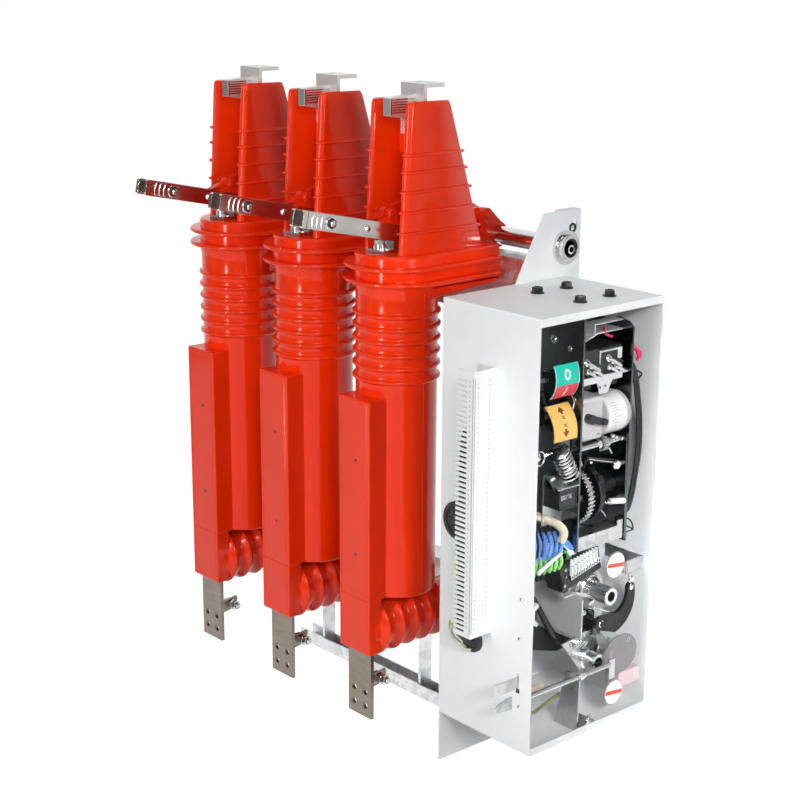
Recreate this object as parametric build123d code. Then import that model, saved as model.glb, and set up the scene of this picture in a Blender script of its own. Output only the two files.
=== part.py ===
from build123d import *
from math import cos, radians, sin
import os

os.makedirs("parts", exist_ok=True)

# Side-mounted three-pole vacuum circuit breaker with a knife isolator on top of its poles.
# X runs along the pole row towards the mechanism box, Y to the back, Z up, all in mm.
# Origin: contact face of the mounting plate, on the line of its fixing holes.

# mounting plate and bearing bracket
PLATE_T = 3.0
PLATE_H = 750.0
PLATE_FRONT = 275.0       # from the fixing line to the plate's front edge
PLATE_BACK = 13.0         # from the fixing line to the plate's back edge
SEAT_STEP = 0.5           # the fixing strip stands this far proud of the plate's field
SEAT_FRONT = 12.0
FIX_PITCH = 210.0
FIX_R = 5.5
BRACKET_TOP = 57.0        # bracket's top edge above the shaft
BRACKET_SLANT = 58.0
BRACKET_REACH = 105.0     # bracket's foot in front of the shaft
BRACKET_TAB = 14.0
SLOT_R = 5.0
SLOT_L = 10.0

# mechanism housing
BOX_D = 197.0
BOX_W = 261.0
BOX_H = 668.0
SHEET = 2.0
LIP = 12.0
CORNER_R = 3.0

# isolator shaft and its bearing
SHAFT_RISE = 46.0         # above the housing roof
SHAFT_SET = 22.0          # in front of the fixing line
SHAFT_R = 15.0
BUSH_R = 20.0
BUSH_FLANGE = 7.0
RUN_GAP = 0.08

# poles, heights measured from the pole's top face
PITCH = 210.0
POLE_GAP = 165.0          # plate's contact face to the nearest pole axis
POLE_DROP = 5.0           # pole top below the shaft
POLE_SET = 200.0          # pole axis in front of the shaft
BARREL_R = 65.0
BARREL_H = 556.0
RING_N = 6
RING_DROP = 86.0
RING_STEP = 20.6
RING_OUT = 4.5
COLLAR_R = 67.0
COLLAR_H = 56.0
SHED_R = 84.0
SHED_T = 6.0
SHED_DROPS = (19.0, 42.0)
FRONT_HALF = 37.5
FRONT_REACH = 88.0        # flat front face ahead of the pole axis
FRONT_DROP = 224.0
FRONT_H = 425.0
NECK_D = 26.0
FRONT_HOLE_R = 2.5
FRONT_HOLES = (256.0, 476.0)

# ribbed post insulator at the foot of each pole
POST_DROP = 611.0
POST_R = 40.0
POST_RIB_R = 51.0
POST_RIBS = 5
POST_RIB_STEP = 31.0
POST_REACH = 74.0         # its start ahead of the pole axis
POST_FOOT = 12.0

# shield wings on top of each pole
WING_H = 231.0
WING_OUT = 48.0
WING_T = 12.0
WING_ROUND = 9.0
WING_FRONT = 30.0         # front edge ahead of the pole axis, at the foot
WING_LEAN = 14.0
WING_BACK = 139.0         # back edge behind the pole axis, at the foot
WING_TAPER = 73.0
WING_RIBS = (33.0, 65.0, 96.0, 126.0, 152.0)
WING_RIB_OUT = 5.0
WING_RIB_T = 3.6

# isolator blades and their drive
PIVOT_RISE = 27.0         # above the pole top
PIVOT_R = 6.0
BAR_T = 6.0
BAR_H = 26.0
BAR_IN = 9.0              # half the gap between a blade's two bars
BLADE_L = 214.0
BLADE_OPEN = 12.4         # degrees above level in the photographed position
BLADE_BOLT = 158.0
BLADE_SCREW = 78.0
LUG_L = 42.0
LUG_ANGLE = 124.0         # from +Y towards +Z, in the photographed position
LUG_R = 10.0
LINK_T = 12.0
PIN_R = 5.0
PIN_PLAY = 0.3
CRANK_T = 12.0
CRANK_R = 11.0
HUB_R = 22.0
MOVE_GAP = 6.0

# fixed contact and connection strips
CONTACT_T = 15.0
CONTACT_REACH = 22.0      # contact's front ahead of the pole axis
CONTACT_H = 40.0
STRIP_T = 6.0
STRIP_SET = 30.0          # upper strip behind the pole axis
STRIP_HALF = 27.0
STRIP_RISE = 255.0        # flange top above the pole top
STRIP_LOW = 176.0
FLANGE_D = 42.0
WEB_T = 9.0
LOW_STRIP_HALF = 28.5
LOW_STRIP_SET = 11.5      # lower strip behind the flat front face
LOW_STRIP_OUT = 117.0
LOW_STRIP_IN = 70.0
TERM_HOLE_R = 5.5
TERM_DX = 28.0
TERM_DZ = 25.0
TERM_EDGE = 20.0
STUD_R = 5.0

# rear frame
FRAME_SET = 65.0          # frame's front face in front of the fixing line
FRAME_T = 3.0
FRAME_DEPTH = 43.0
BEAM_DROP = 17.0          # upper beam's top below the pole top
BEAM_H = 99.0
BEAM_END = 90.0           # beyond the far pole's axis
RAIL_H = 84.0
LEG_T = 6.0
LEG_X = (278.0, 552.0)
SILL_DROP = 54.0          # bottom channel's underside below the mounting plate
SILL_H = 24.0
SILL_W = 32.0
SILL_SET = 71.0
SILL_END = 617.0

# mechanism: y from the housing's left face, x from its open front, z from its roof
LEFT_PLATE = 106.0
RIGHT_PLATE = 218.0
FRAME_PLATE_T = 3.0
FRAME_PLATE_SET = 15.0
FRAME_PLATE_H = 374.0
FLAG_Y = 52.0
FLAG_W = 48.0
FLAG_T = 1.5
FLAG_HUB_R = 6.0
O_FLAG_R = 42.0
O_FLAG_DROP = 101.0
CHARGE_FLAG_R = 52.0
CHARGE_FLAG_DROP = 185.0
COUNTER = (30.0, 37.0, 30.0)
COUNTER_DROP = 268.0
COUNTER_Y = 64.0
COUNTER_SET = 15.0
RELAY = (48.0, 46.0, 42.0)
RELAY_DROP = 113.0
RELAY_SET = 32.0
SHELF_T = 2.0
MOTOR_R = 32.0
MOTOR_DROP = 176.0
MOTOR_SET = 43.0
MOTOR_END = 211.0
GEARBOX = (64.0, 50.0, 66.0)
CAM_SET = 51.0
CAM_DROP = 295.0
GEAR_R = 46.0
GEAR_TEETH = 40
TOOTH_H = 3.2
GEAR_T = 11.0
CAM_R = 42.0
CAM_SHAFT_R = 12.0
RATCHET_R = 11.5
RATCHET_TEETH = 16
RATCHET_SET = 32.0
RATCHET_DROP = 219.0
RATCHET_ROD_R = 5.0
CHANNEL_DROP = 351.0
CHANNEL_H = 22.0
CHANNEL_D = 30.0
CHANNEL_W = 98.0
SWITCH_Y = 84.0
SWITCH_TILT = 13.0
SOCKET_DROP = 461.0
SOCKET_Y = 180.0
SOCKET_R = 14.0
SOCKET_FLANGE_R = 30.0
LOWER_SOCKET_DROP = 565.0
LOWER_SOCKET_Y = 211.0
GUARD_R = 31.0
GUARD_T = 3.0
DISC_R = 20.5
DISC_T = 3.0
UPPER_DISC = (191.0, 413.0)
LOWER_DISC = (189.0, 621.0)
ROD_DROP = 573.0
ROD_R = 4.0
ROD_SET = 6.5
STAND_Y = 113.0
STAND_W = 48.0

# wire duct and glands on the housing's left face
DUCT_X = 75.0
DUCT_W = 36.0
DUCT_H = 410.0
DUCT_OUT = 43.0
DUCT_DROP = 85.0
DUCT_WALL = 2.0
DUCT_SPINE = 14.0         # unslotted strip beside the duct's back
FINGER_PITCH = 7.7
FINGER_GAP = 3.4
GLAND_WALL = 7.0
GLAND_OUT = 5.0
GLANDS = ((37.0, 337.0, 30.0), (73.0, 517.0, 21.0))   # from the housing's back, below its roof, radius
TONGUE = (169.0, 48.0, 18.0, 2.0)   # from the housing's back, reach, height, thickness

POLE_X = [-POLE_GAP - PITCH * i for i in (2, 1, 0)]
POLE_NAMES = ("a", "b", "c")
BOX_X0 = PLATE_T
BOX_X1 = PLATE_T + BOX_D
BOX_Y0 = -PLATE_FRONT
BOX_Y1 = BOX_Y0 + BOX_W
BOX_Z1 = PLATE_H / 2
BOX_Z0 = BOX_Z1 - BOX_H
SHAFT_Y = -SHAFT_SET
SHAFT_Z = BOX_Z1 + SHAFT_RISE
POLE_Y = SHAFT_Y - POLE_SET
POLE_TOP = SHAFT_Z - POLE_DROP
BARREL_LOW = POLE_TOP - BARREL_H
FRONT_Y = POLE_Y - FRONT_REACH
FRONT_LOW = POLE_TOP - FRONT_DROP - FRONT_H
POST_Z = POLE_TOP - POST_DROP
WING_TOP = POLE_TOP + WING_H
FRAME_Y = -FRAME_SET
BEAM_TOP = POLE_TOP - BEAM_DROP
SILL_Y = -SILL_SET
SILL_LOW = -PLATE_H / 2 - SILL_DROP
PIVOT_Y = POLE_Y
PIVOT_Z = POLE_TOP + PIVOT_RISE
STRIP_Y = POLE_Y + STRIP_SET
LOW_STRIP_Y = FRONT_Y + LOW_STRIP_SET
LOW_END = FRONT_LOW - LOW_STRIP_OUT
EPS = 1.0                 # overrun of a cutting shape past the face that it opens

NODES = {}


def put(name, shape):
    NODES[name] = shape


def box(x0, x1, y0, y1, z0, z1):
    return Pos((x0 + x1) / 2, (y0 + y1) / 2, (z0 + z1) / 2) * Box(x1 - x0, y1 - y0, z1 - z0)


def rod_x(x0, x1, y, z, r):
    return Pos((x0 + x1) / 2, y, z) * Rot(0, 90, 0) * Cylinder(r, x1 - x0)


def rod_y(x, y0, y1, z, r):
    return Pos(x, (y0 + y1) / 2, z) * Rot(90, 0, 0) * Cylinder(r, y1 - y0)


def rod_z(x, y, z0, z1, r):
    return Pos(x, y, (z0 + z1) / 2) * Cylinder(r, z1 - z0)


def slab_x(points, x0, x1):
    """A plate with a side outline of (y, z) points, from x0 to x1."""
    face = make_face(Polyline(*[(0, y, z) for y, z in points], close=True))
    return Pos(x0, 0, 0) * extrude(face, amount=x1 - x0, dir=(1, 0, 0))


def slab_y(points, y0, y1):
    """A plate with an outline of (x, z) points, from y0 to y1."""
    face = make_face(Polyline(*[(x, 0, z) for x, z in points], close=True))
    return Pos(0, y0, 0) * extrude(face, amount=y1 - y0, dir=(0, 1, 0))


def polar(y, z, length, angle):
    a = radians(angle)
    return y + length * cos(a), z + length * sin(a)


def mirrored(x0, x1, side):
    """The span x0 to x1, or its mirror image where side is -1."""
    return (x0, x1) if side > 0 else (-x1, -x0)


# mounting plate with the bearing bracket
def mounting_plate():
    top = SHAFT_Z + BRACKET_TOP
    foot = SHAFT_Y - BRACKET_REACH
    head = foot + BRACKET_SLANT
    outline = [(-PLATE_FRONT, -BOX_Z1), (PLATE_BACK, -BOX_Z1), (PLATE_BACK, top),
               (head, top), (foot, BOX_Z1), (-PLATE_FRONT, BOX_Z1)]
    plate = slab_x(outline, SEAT_STEP, PLATE_T)
    plate += box(0, SEAT_STEP, -SEAT_FRONT, PLATE_BACK, -BOX_Z1, BOX_Z1)
    tab_y = (head + PLATE_BACK) / 2
    plate += box(-BRACKET_TAB, PLATE_T, tab_y, PLATE_BACK, top - PLATE_T, top)
    for k in (-1.5, -0.5, 0.5, 1.5):
        plate -= rod_x(-EPS, PLATE_T + EPS, 0, k * FIX_PITCH, FIX_R)
    plate -= rod_x(-EPS, PLATE_T + EPS, SHAFT_Y, SHAFT_Z, BUSH_R)
    # slot above the bearing
    x0, x1 = -EPS, PLATE_T + EPS
    slot = rod_x(x0, x1, 0, 0, SLOT_R) + rod_x(x0, x1, SLOT_L, 0, SLOT_R) + box(x0, x1, 0, SLOT_L, -SLOT_R, SLOT_R)
    middle = Pos(0, SHAFT_Y + BUSH_R, SHAFT_Z + BUSH_R + SLOT_L)
    plate -= middle * Rot(60, 0, 0) * Pos(0, -SLOT_L / 2, 0) * slot
    return plate


def bearing():
    body = rod_x(-12, PLATE_T + 14, SHAFT_Y, SHAFT_Z, BUSH_R - 0.01)
    body += rod_x(PLATE_T, PLATE_T + 6, SHAFT_Y, SHAFT_Z, BUSH_R + BUSH_FLANGE)
    return body - rod_x(-30, 40, SHAFT_Y, SHAFT_Z, SHAFT_R + RUN_GAP)


def housing():
    outer = box(BOX_X0, BOX_X1, BOX_Y0, BOX_Y1, BOX_Z0, BOX_Z1)
    outer = fillet(outer.edges().filter_by(Axis.X), CORNER_R)
    inner = box(BOX_X0 - EPS, BOX_X1 + EPS, BOX_Y0 + SHEET, BOX_Y1 - SHEET, BOX_Z0 + SHEET, BOX_Z1 - SHEET)
    shell = outer - inner
    y0, y1 = BOX_Y0 + SHEET / 2, BOX_Y1 - SHEET / 2
    shell += box(BOX_X1 - SHEET, BOX_X1, y0, y1, BOX_Z1 - LIP, BOX_Z1 - SHEET / 2)
    shell += box(BOX_X1 - SHEET, BOX_X1, y0, y1, BOX_Z0 + SHEET / 2, BOX_Z0 + LIP)
    # slot for the interlock's tongue
    back, reach, height, thick = TONGUE
    x = BOX_X0 + back
    z = BOX_Z1 - ROD_DROP + 8
    shell -= box(x - 1, x + thick + 1, BOX_Y0 - EPS, BOX_Y0 + SHEET + EPS, z - 1, z + height + 6)
    return shell


# epoxy pole
def oblong(r, y_back, z0, z1):
    """A round-fronted block about the pole axis that runs back to y_back."""
    return rod_z(0, POLE_Y, z0, z1, r) + box(-r, r, POLE_Y, y_back, z0, z1)


def wing_front(h):
    return POLE_Y - WING_FRONT + WING_LEAN * h / WING_H


def wing_back(h):
    return POLE_Y + WING_BACK - WING_TAPER * h / WING_H


def wing(side):
    """One tapered shield wing with its ribs, round at its outer front edge."""
    x0, x1 = mirrored(WING_OUT - WING_T, WING_OUT, side)
    crown = wing_front(WING_H) + 38
    outline = [(wing_front(0), POLE_TOP - 4), (wing_front(WING_H), WING_TOP), (crown, WING_TOP + 4),
               (wing_back(WING_H), WING_TOP - 6), (wing_back(0), POLE_TOP - 4)]
    body = slab_x(outline, x0, x1)
    outer = side * WING_OUT
    front = body.edges().filter_by_position(Axis.X, outer - 0.01, outer + 0.01).sort_by(Axis.Y)[0]
    body = fillet(front, WING_ROUND)
    a, b = mirrored(WING_OUT - WING_T, WING_OUT + WING_RIB_OUT, side)
    for h in WING_RIBS:
        z = POLE_TOP + h
        rib = box(a, b, wing_front(h) - WING_RIB_OUT, wing_back(h) + WING_RIB_OUT / 2,
                  z - WING_RIB_T / 2, z + WING_RIB_T / 2)
        outer = side * (WING_OUT + WING_RIB_OUT)
        upright = rib.edges().filter_by(Axis.Z).filter_by_position(Axis.X, outer - 0.01, outer + 0.01)
        body += fillet(upright.sort_by(Axis.Y)[0], WING_ROUND + WING_RIB_OUT)
    return body


def post_insulator():
    start = POLE_Y - POST_REACH
    profile = [(0, start), (POST_R, start)]
    half = POST_RIB_STEP / 2 - 3
    for i in range(POST_RIBS):
        c = start + 4 + POST_RIB_STEP * (i + 0.5)
        profile += [(POST_R, c - half), (POST_RIB_R - 2, c - half * 0.45), (POST_RIB_R, c),
                    (POST_RIB_R - 2, c + half * 0.45), (POST_R, c + half)]
    foot = FRAME_Y - POST_FOOT
    profile += [(POST_R, foot), (POST_R + 4, foot), (POST_R + 4, FRAME_Y), (0, FRAME_Y)]
    face = make_face(Polyline(*[(r, y, 0) for r, y in profile], close=True))
    return Pos(0, 0, POST_Z) * revolve(face, Axis.Y, 360)


def pole():
    body = rod_z(0, POLE_Y, BARREL_LOW, POLE_TOP - COLLAR_H / 2, BARREL_R)
    for i in range(RING_N):
        z = POLE_TOP - RING_DROP - i * RING_STEP
        body += fillet(rod_z(0, POLE_Y, z - 3, z + 3, BARREL_R + RING_OUT).edges(), 2.4)
    low = POLE_TOP - COLLAR_H
    collar = oblong(COLLAR_R, FRAME_Y, low, POLE_TOP)
    body += fillet(collar.edges().group_by(Axis.Z)[-1], 6)
    gusset = [(POLE_Y, low + 1), (FRAME_Y, low + 1), (FRAME_Y, low - 2), (POLE_Y + 20, low - 12),
              (POLE_Y, low - 12)]
    body += slab_x(gusset, -COLLAR_R + 1, COLLAR_R - 1)
    for drop in SHED_DROPS:
        z = POLE_TOP - drop
        shed = oblong(SHED_R, FRAME_Y - POST_FOOT, z - SHED_T / 2, z + SHED_T / 2)
        rims = shed.edges().group_by(Axis.Z)
        body += fillet(rims[0] + rims[-1], 2.2)
    # flat front and neck
    front_top = POLE_TOP - FRONT_DROP
    body += box(-FRONT_HALF, FRONT_HALF, FRONT_Y, POLE_Y, BARREL_LOW, front_top)
    body += box(-FRONT_HALF, FRONT_HALF, FRONT_Y, FRONT_Y + NECK_D, FRONT_LOW, BARREL_LOW + 5)
    for drop in FRONT_HOLES:
        body -= rod_y(4, FRONT_Y - EPS, FRONT_Y + 12, POLE_TOP - drop, FRONT_HOLE_R)
    body += wing(-1) + wing(1) + post_insulator()
    # web between the wings, straight behind the connection strip
    inner = WING_OUT - WING_T + 1
    web_y = STRIP_Y + STRIP_T
    body += box(-inner, inner, web_y, web_y + WEB_T, POLE_TOP + STRIP_LOW - 30, WING_TOP - 4)
    # pocket for the lower strip
    body -= box(-LOW_STRIP_HALF, LOW_STRIP_HALF, LOW_STRIP_Y, LOW_STRIP_Y + STRIP_T,
                FRONT_LOW - LOW_STRIP_OUT, FRONT_LOW + LOW_STRIP_IN)
    return body


def lower_terminal():
    y1 = LOW_STRIP_Y + STRIP_T
    strip = box(-LOW_STRIP_HALF, LOW_STRIP_HALF, LOW_STRIP_Y, y1, LOW_END, FRONT_LOW + LOW_STRIP_IN)
    for dx in (-TERM_DX / 2, TERM_DX / 2):
        for k in (0, 1):
            z = LOW_END + TERM_EDGE + k * TERM_DZ
            strip -= rod_y(dx, LOW_STRIP_Y - EPS, y1 + EPS, z, TERM_HOLE_R)
    # earthing stud on a lug behind the strip
    z = FRONT_LOW - 63
    strip += slab_x([(y1, z + 4), (y1, z - 16), (y1 + 48, z - 8), (y1 + 48, z + 12)], -3, 3)
    strip += rod_x(-16, 22, y1 + 36, z, STUD_R)
    return strip


def top_contact():
    z1 = POLE_TOP + STRIP_RISE
    low = POLE_TOP + STRIP_LOW
    front = POLE_Y - CONTACT_REACH
    block = slab_x([(front, z1 - 47), (front, z1 - 20), (STRIP_Y, z1 - 16), (STRIP_Y, z1 - 16 - CONTACT_H)],
                   -CONTACT_T / 2, CONTACT_T / 2)
    strip = box(-STRIP_HALF, STRIP_HALF, STRIP_Y, STRIP_Y + STRIP_T, low, z1)
    strip += box(-STRIP_HALF, STRIP_HALF, STRIP_Y, STRIP_Y + FLANGE_D, z1 - STRIP_T, z1)
    for dx in (-TERM_DX / 2, TERM_DX / 2):
        strip -= rod_z(dx, STRIP_Y + 25, z1 - STRIP_T - EPS, z1 + EPS, TERM_HOLE_R)
    return block + strip


def blade_base():
    foot = POLE_TOP + 6
    base = box(-20, 20, PIVOT_Y - 46, PIVOT_Y + 26, POLE_TOP, foot)
    half = BAR_IN - 0.5
    base += slab_x([(PIVOT_Y - 16, foot - 1), (PIVOT_Y - 13, PIVOT_Z), (PIVOT_Y + 13, PIVOT_Z),
                    (PIVOT_Y + 16, foot - 1)], -half, half)
    base += rod_x(-half, half, PIVOT_Y, PIVOT_Z, 13)
    base += rod_z(0, PIVOT_Y - 34, foot - 1, foot + 8, 10)
    end = BAR_IN + BAR_T
    pin = rod_x(-end - 6, end + 6, PIVOT_Y, PIVOT_Z, PIVOT_R)
    for side in (-1, 1):
        a, b = mirrored(end + 0.5, end + 5.5, side)
        pin += rod_x(a, b, PIVOT_Y, PIVOT_Z, 9)
    return base + pin


LUG_Y, LUG_Z = polar(PIVOT_Y, PIVOT_Z, LUG_L, LUG_ANGLE)
CRANK_Y, CRANK_Z = polar(SHAFT_Y, SHAFT_Z, LUG_L, LUG_ANGLE)


def along_blade(s, t):
    """A point s along the open blade from its pivot and t above its middle."""
    a = radians(180 - BLADE_OPEN)
    return PIVOT_Y + s * cos(a) + t * sin(a), PIVOT_Z + s * sin(a) - t * cos(a)


def blade():
    h = BAR_H / 2
    at = along_blade
    tip = BLADE_L - 12
    outline = [at(0, -h), at(0, h), at(tip, h), at(BLADE_L, h - 6), at(BLADE_L, -h + 6), at(tip, -h)]
    lug = [at(0, -h), at(30, -h), (LUG_Y - LUG_R, LUG_Z + 2), (LUG_Y + LUG_R, LUG_Z), at(-h, 0)]
    end = BAR_IN + BAR_T
    body = rod_x(-end - 3, end + 3, LUG_Y, LUG_Z, PIN_R)
    for side in (-1, 1):
        x0, x1 = mirrored(BAR_IN, end, side)
        bar = slab_x(outline, x0, x1) + rod_x(x0, x1, PIVOT_Y, PIVOT_Z, h)
        bar += slab_x(lug, x0, x1) + rod_x(x0, x1, LUG_Y, LUG_Z, LUG_R)
        body += bar - rod_x(x0 - EPS, x1 + EPS, PIVOT_Y, PIVOT_Z, PIVOT_R + RUN_GAP)
    y, z = at(BLADE_BOLT, 0)
    body += rod_x(-end - 4, end + 4, y, z, 8)
    y, z = at(BLADE_SCREW, 0)
    body += rod_x(-end - 2, end + 2, y, z, 5)
    return body


def link():
    """The red rod from the crank's pin to the lug on the blade, swan-necked over the pole."""
    half = LINK_T / 2
    outline = [(LUG_Y - 36, LUG_Z - 8), (LUG_Y + 6, LUG_Z + 9), (LUG_Y + 40, LUG_Z + 18),
               (CRANK_Y - 30, CRANK_Z + 12), (CRANK_Y, CRANK_Z + 10), (CRANK_Y, CRANK_Z - 10),
               (CRANK_Y - 30, CRANK_Z - 8), (LUG_Y + 10, LUG_Z - 9)]
    body = slab_x(outline, -half, half) + rod_x(-half, half, CRANK_Y, CRANK_Z, 10)
    body += rod_x(-half, half, LUG_Y, LUG_Z, LUG_R - 0.5)
    body -= rod_x(-half - EPS, half + EPS, LUG_Y, LUG_Z, PIN_R + PIN_PLAY)
    body -= rod_x(-half - EPS, half + EPS, CRANK_Y, CRANK_Z, PIN_R + RUN_GAP)
    return body


def isolator_shaft():
    return rod_x(POLE_X[0] - BEAM_END / 2, PLATE_T + 10, SHAFT_Y, SHAFT_Z, SHAFT_R)


CRANK_IN = LINK_T / 2 + 1
CRANK_OUT = CRANK_IN + CRANK_T


def crank():
    """The forked crank on the shaft at one pole."""
    group = rod_x(-CRANK_OUT, CRANK_OUT, CRANK_Y, CRANK_Z, PIN_R)
    group += rod_x(-CRANK_IN - EPS, CRANK_IN + EPS, SHAFT_Y, SHAFT_Z, HUB_R - 2)
    cheek = [polar(SHAFT_Y, SHAFT_Z, HUB_R - 1, LUG_ANGLE + 90), polar(SHAFT_Y, SHAFT_Z, HUB_R - 1, LUG_ANGLE - 90),
             polar(CRANK_Y, CRANK_Z, CRANK_R, LUG_ANGLE - 90), polar(CRANK_Y, CRANK_Z, CRANK_R, LUG_ANGLE + 90)]
    for side in (-1, 1):
        a, b = mirrored(CRANK_IN, CRANK_OUT, side)
        group += rod_x(a, b, SHAFT_Y, SHAFT_Z, HUB_R) + rod_x(a, b, CRANK_Y, CRANK_Z, CRANK_R)
        group += slab_x(cheek, a, b)
    return group - rod_x(-CRANK_OUT - EPS, CRANK_OUT + EPS, SHAFT_Y, SHAFT_Z, SHAFT_R)


# rear frame
def channel_x(x0, x1, y0, y1, z0, z1):
    """A channel along X, open at its back."""
    cut = box(x0 - EPS, x1 + EPS, y0 + FRAME_T, y1 + EPS, z0 + FRAME_T, z1 - FRAME_T)
    return box(x0, x1, y0, y1, z0, z1) - cut


def upper_beam():
    y1 = FRAME_Y + FRAME_DEPTH
    beam = channel_x(POLE_X[0] - BEAM_END, SEAT_STEP, FRAME_Y, y1, BEAM_TOP - BEAM_H, BEAM_TOP)
    notch = CRANK_OUT + MOVE_GAP
    for x in POLE_X:
        beam -= box(x - notch, x + notch, SHAFT_Y - HUB_R - MOVE_GAP, y1 + EPS,
                    BEAM_TOP - FRAME_T - EPS, BEAM_TOP + EPS)
    return beam


def insulator_rail():
    return channel_x(POLE_X[0] - BEAM_END, SEAT_STEP, FRAME_Y, FRAME_Y + FRAME_DEPTH,
                     POST_Z - RAIL_H / 2, POST_Z + RAIL_H / 2)


def bottom_channel():
    outer = box(-SILL_END, SEAT_STEP, SILL_Y, SILL_Y + SILL_W, SILL_LOW, SILL_LOW + SILL_H)
    return outer - box(-SILL_END - EPS, SEAT_STEP + EPS, SILL_Y + FRAME_T, SILL_Y + SILL_W - FRAME_T,
                       SILL_LOW + FRAME_T, SILL_LOW + SILL_H + EPS)


def leg(x0, x1):
    """An upright flat between the bottom channel's floor and the rail."""
    return box(x0, x1, SILL_Y + FRAME_T, SILL_Y + SILL_W - FRAME_T, SILL_LOW + FRAME_T, POST_Z - RAIL_H / 2)


# mechanism, in the housing's own frame: x back from the open front, y from the left face, z down from the roof
def in_box(shape):
    return Pos(BOX_X1, BOX_Y0, BOX_Z1) * shape


BACK = -BOX_D
RIGHT_WALL = BOX_W - SHEET
FLOOR = -BOX_H + SHEET
LEFT_FACE = LEFT_PLATE + FRAME_PLATE_T
FRAME_FRONT = -FRAME_PLATE_SET


def left_plate():
    z0 = -FRAME_PLATE_H
    return box(BACK, FRAME_FRONT, LEFT_PLATE, LEFT_FACE, z0, -SHEET)


def right_plate():
    """Peaked at its top, with a peaked doubling plate over its lower half."""
    y0, y1 = RIGHT_PLATE, RIGHT_PLATE + FRAME_PLATE_T
    z0 = -FRAME_PLATE_H - 8
    front = FRAME_FRONT - 4
    outline = [(BACK, z0), (front, z0), (front, -46), (front - 10, -38), (front - 30, -34), (front - 58, -42),
               (front - 90, -26), (BACK, -26)]
    plate = slab_y(outline, y0, y1)
    doubling = [(-100, z0 + 6), (front + 1, z0 + 6), (front - 2, -216), (-59, -215), (-77, -226), (-100, -226)]
    return plate + slab_y(doubling, y0 - FRAME_PLATE_T, y0)


def flag(radius, axis_drop, top, bottom):
    """A curved indicator vane on an arm that runs to the left plate."""
    cx = FRAME_FRONT - 5 - radius + 4
    cz = -axis_drop
    y0, y1 = FLAG_Y, FLAG_Y + FLAG_W
    vane = rod_y(cx, y0, y1, cz, radius) - rod_y(cx, y0 - EPS, y1 + EPS, cz, radius - FLAG_T)
    reach = 2 * radius
    rim = [(cx, cz)]
    for angle in (bottom, bottom / 2, 0, top / 2, top):
        x, z = polar(cx, cz, reach, angle)
        rim.append((x, z))
    vane &= slab_y(rim, y0, y1)
    mid = (top + bottom) / 2
    ux, uz = polar(0, 0, 1, mid)
    arm = [(cx - 4 * uz, cz + 4 * ux), (cx + 4 * uz, cz - 4 * ux)]
    tip = radius - FLAG_T / 2
    arm += [(cx + tip * ux + 4 * uz, cz + tip * uz - 4 * ux), (cx + tip * ux - 4 * uz, cz + tip * uz + 4 * ux)]
    vane += slab_y(arm, y1 - 3, y1)
    return vane + rod_y(cx, y1 - 3, LEFT_PLATE, cz, FLAG_HUB_R)


def counter():
    d, w, h = COUNTER
    x1 = -COUNTER_SET
    return box(x1 - d, x1, COUNTER_Y, COUNTER_Y + w, -COUNTER_DROP - h, -COUNTER_DROP)


def counter_bracket():
    """Back plate and sloping hood of the counter, fixed to the left plate."""
    d, w, h = COUNTER
    back = -COUNTER_SET - d
    y0 = COUNTER_Y - 2
    plate = box(back - SHELF_T, back, y0, LEFT_PLATE, -COUNTER_DROP - 62, -COUNTER_DROP + 18)
    hood = slab_y([(back, -COUNTER_DROP + 18), (back, -COUNTER_DROP + 16), (-COUNTER_SET, -COUNTER_DROP),
                   (-COUNTER_SET, -COUNTER_DROP + 2)], y0, LEFT_PLATE)
    return plate + hood


def relay_bracket():
    """Shelf across both plates with a hanging front lip and a tab, and the angle above the relays."""
    d, w, h = RELAY
    z = -RELAY_DROP
    front = -RELAY_SET + 5
    shelf = box(-RELAY_SET - d - 6, front, LEFT_FACE, RIGHT_PLATE, z - SHELF_T, z)
    shelf += box(front, front + SHELF_T, LEFT_FACE + 2, RIGHT_PLATE - 14, z - 8, z + 2)
    y0 = LEFT_FACE + 40
    shelf += slab_x([(y0, z - 7), (y0 + 34, z - 7), (y0 + 28, z - 16), (y0 + 24, z - 26), (y0 + 6, z - 26),
                     (y0 + 4, z - 18)], front, front + SHELF_T)
    return Compound(children=[shelf, roof_bracket()])


def roof_bracket():
    """Bent strip from the right plate, below the roof, and a tray above the relays."""
    y0 = LEFT_FACE + 47
    strip = box(-60, -40, y0, RIGHT_PLATE, -38, -36)
    strip += box(-60, -40, y0, y0 + 2, -52, -36)
    tray = slab_x([(LEFT_FACE, -66), (LEFT_FACE + 55, -50), (RIGHT_PLATE, -50), (RIGHT_PLATE, -52),
                   (LEFT_FACE + 55, -52), (LEFT_FACE, -68)], -92, -40)
    return strip + tray


def relays():
    d, w, h = RELAY
    gap = 4.0
    pair = None
    for k in (0, 1):
        y0 = LEFT_FACE + 3 + k * (w + gap)
        one = box(-RELAY_SET - d, -RELAY_SET, y0, y0 + w, -RELAY_DROP, -RELAY_DROP + h)
        one = chamfer(one.edges().filter_by(Axis.Y), 1.5)
        pair = one if pair is None else Compound(children=[pair, one])
    return pair


def charging_motor():
    """Motor can along Y with its gearbox against the left plate."""
    d, w, h = GEARBOX
    x = -MOTOR_SET
    z = -MOTOR_DROP
    case = box(x - d / 2 - 11, x + d / 2 - 11, LEFT_FACE, LEFT_FACE + w, z - h / 2 + 2, z + h / 2 + 2)
    case = fillet(case.edges().filter_by(Axis.Y), 6)
    can = rod_y(x, LEFT_FACE + w, MOTOR_END, z, MOTOR_R)
    can = fillet(can.edges().sort_by(Axis.Y)[-1], 4)
    nose = rod_y(x, MOTOR_END - 1, RIGHT_PLATE, z, 11)
    return case + can + nose


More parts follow.
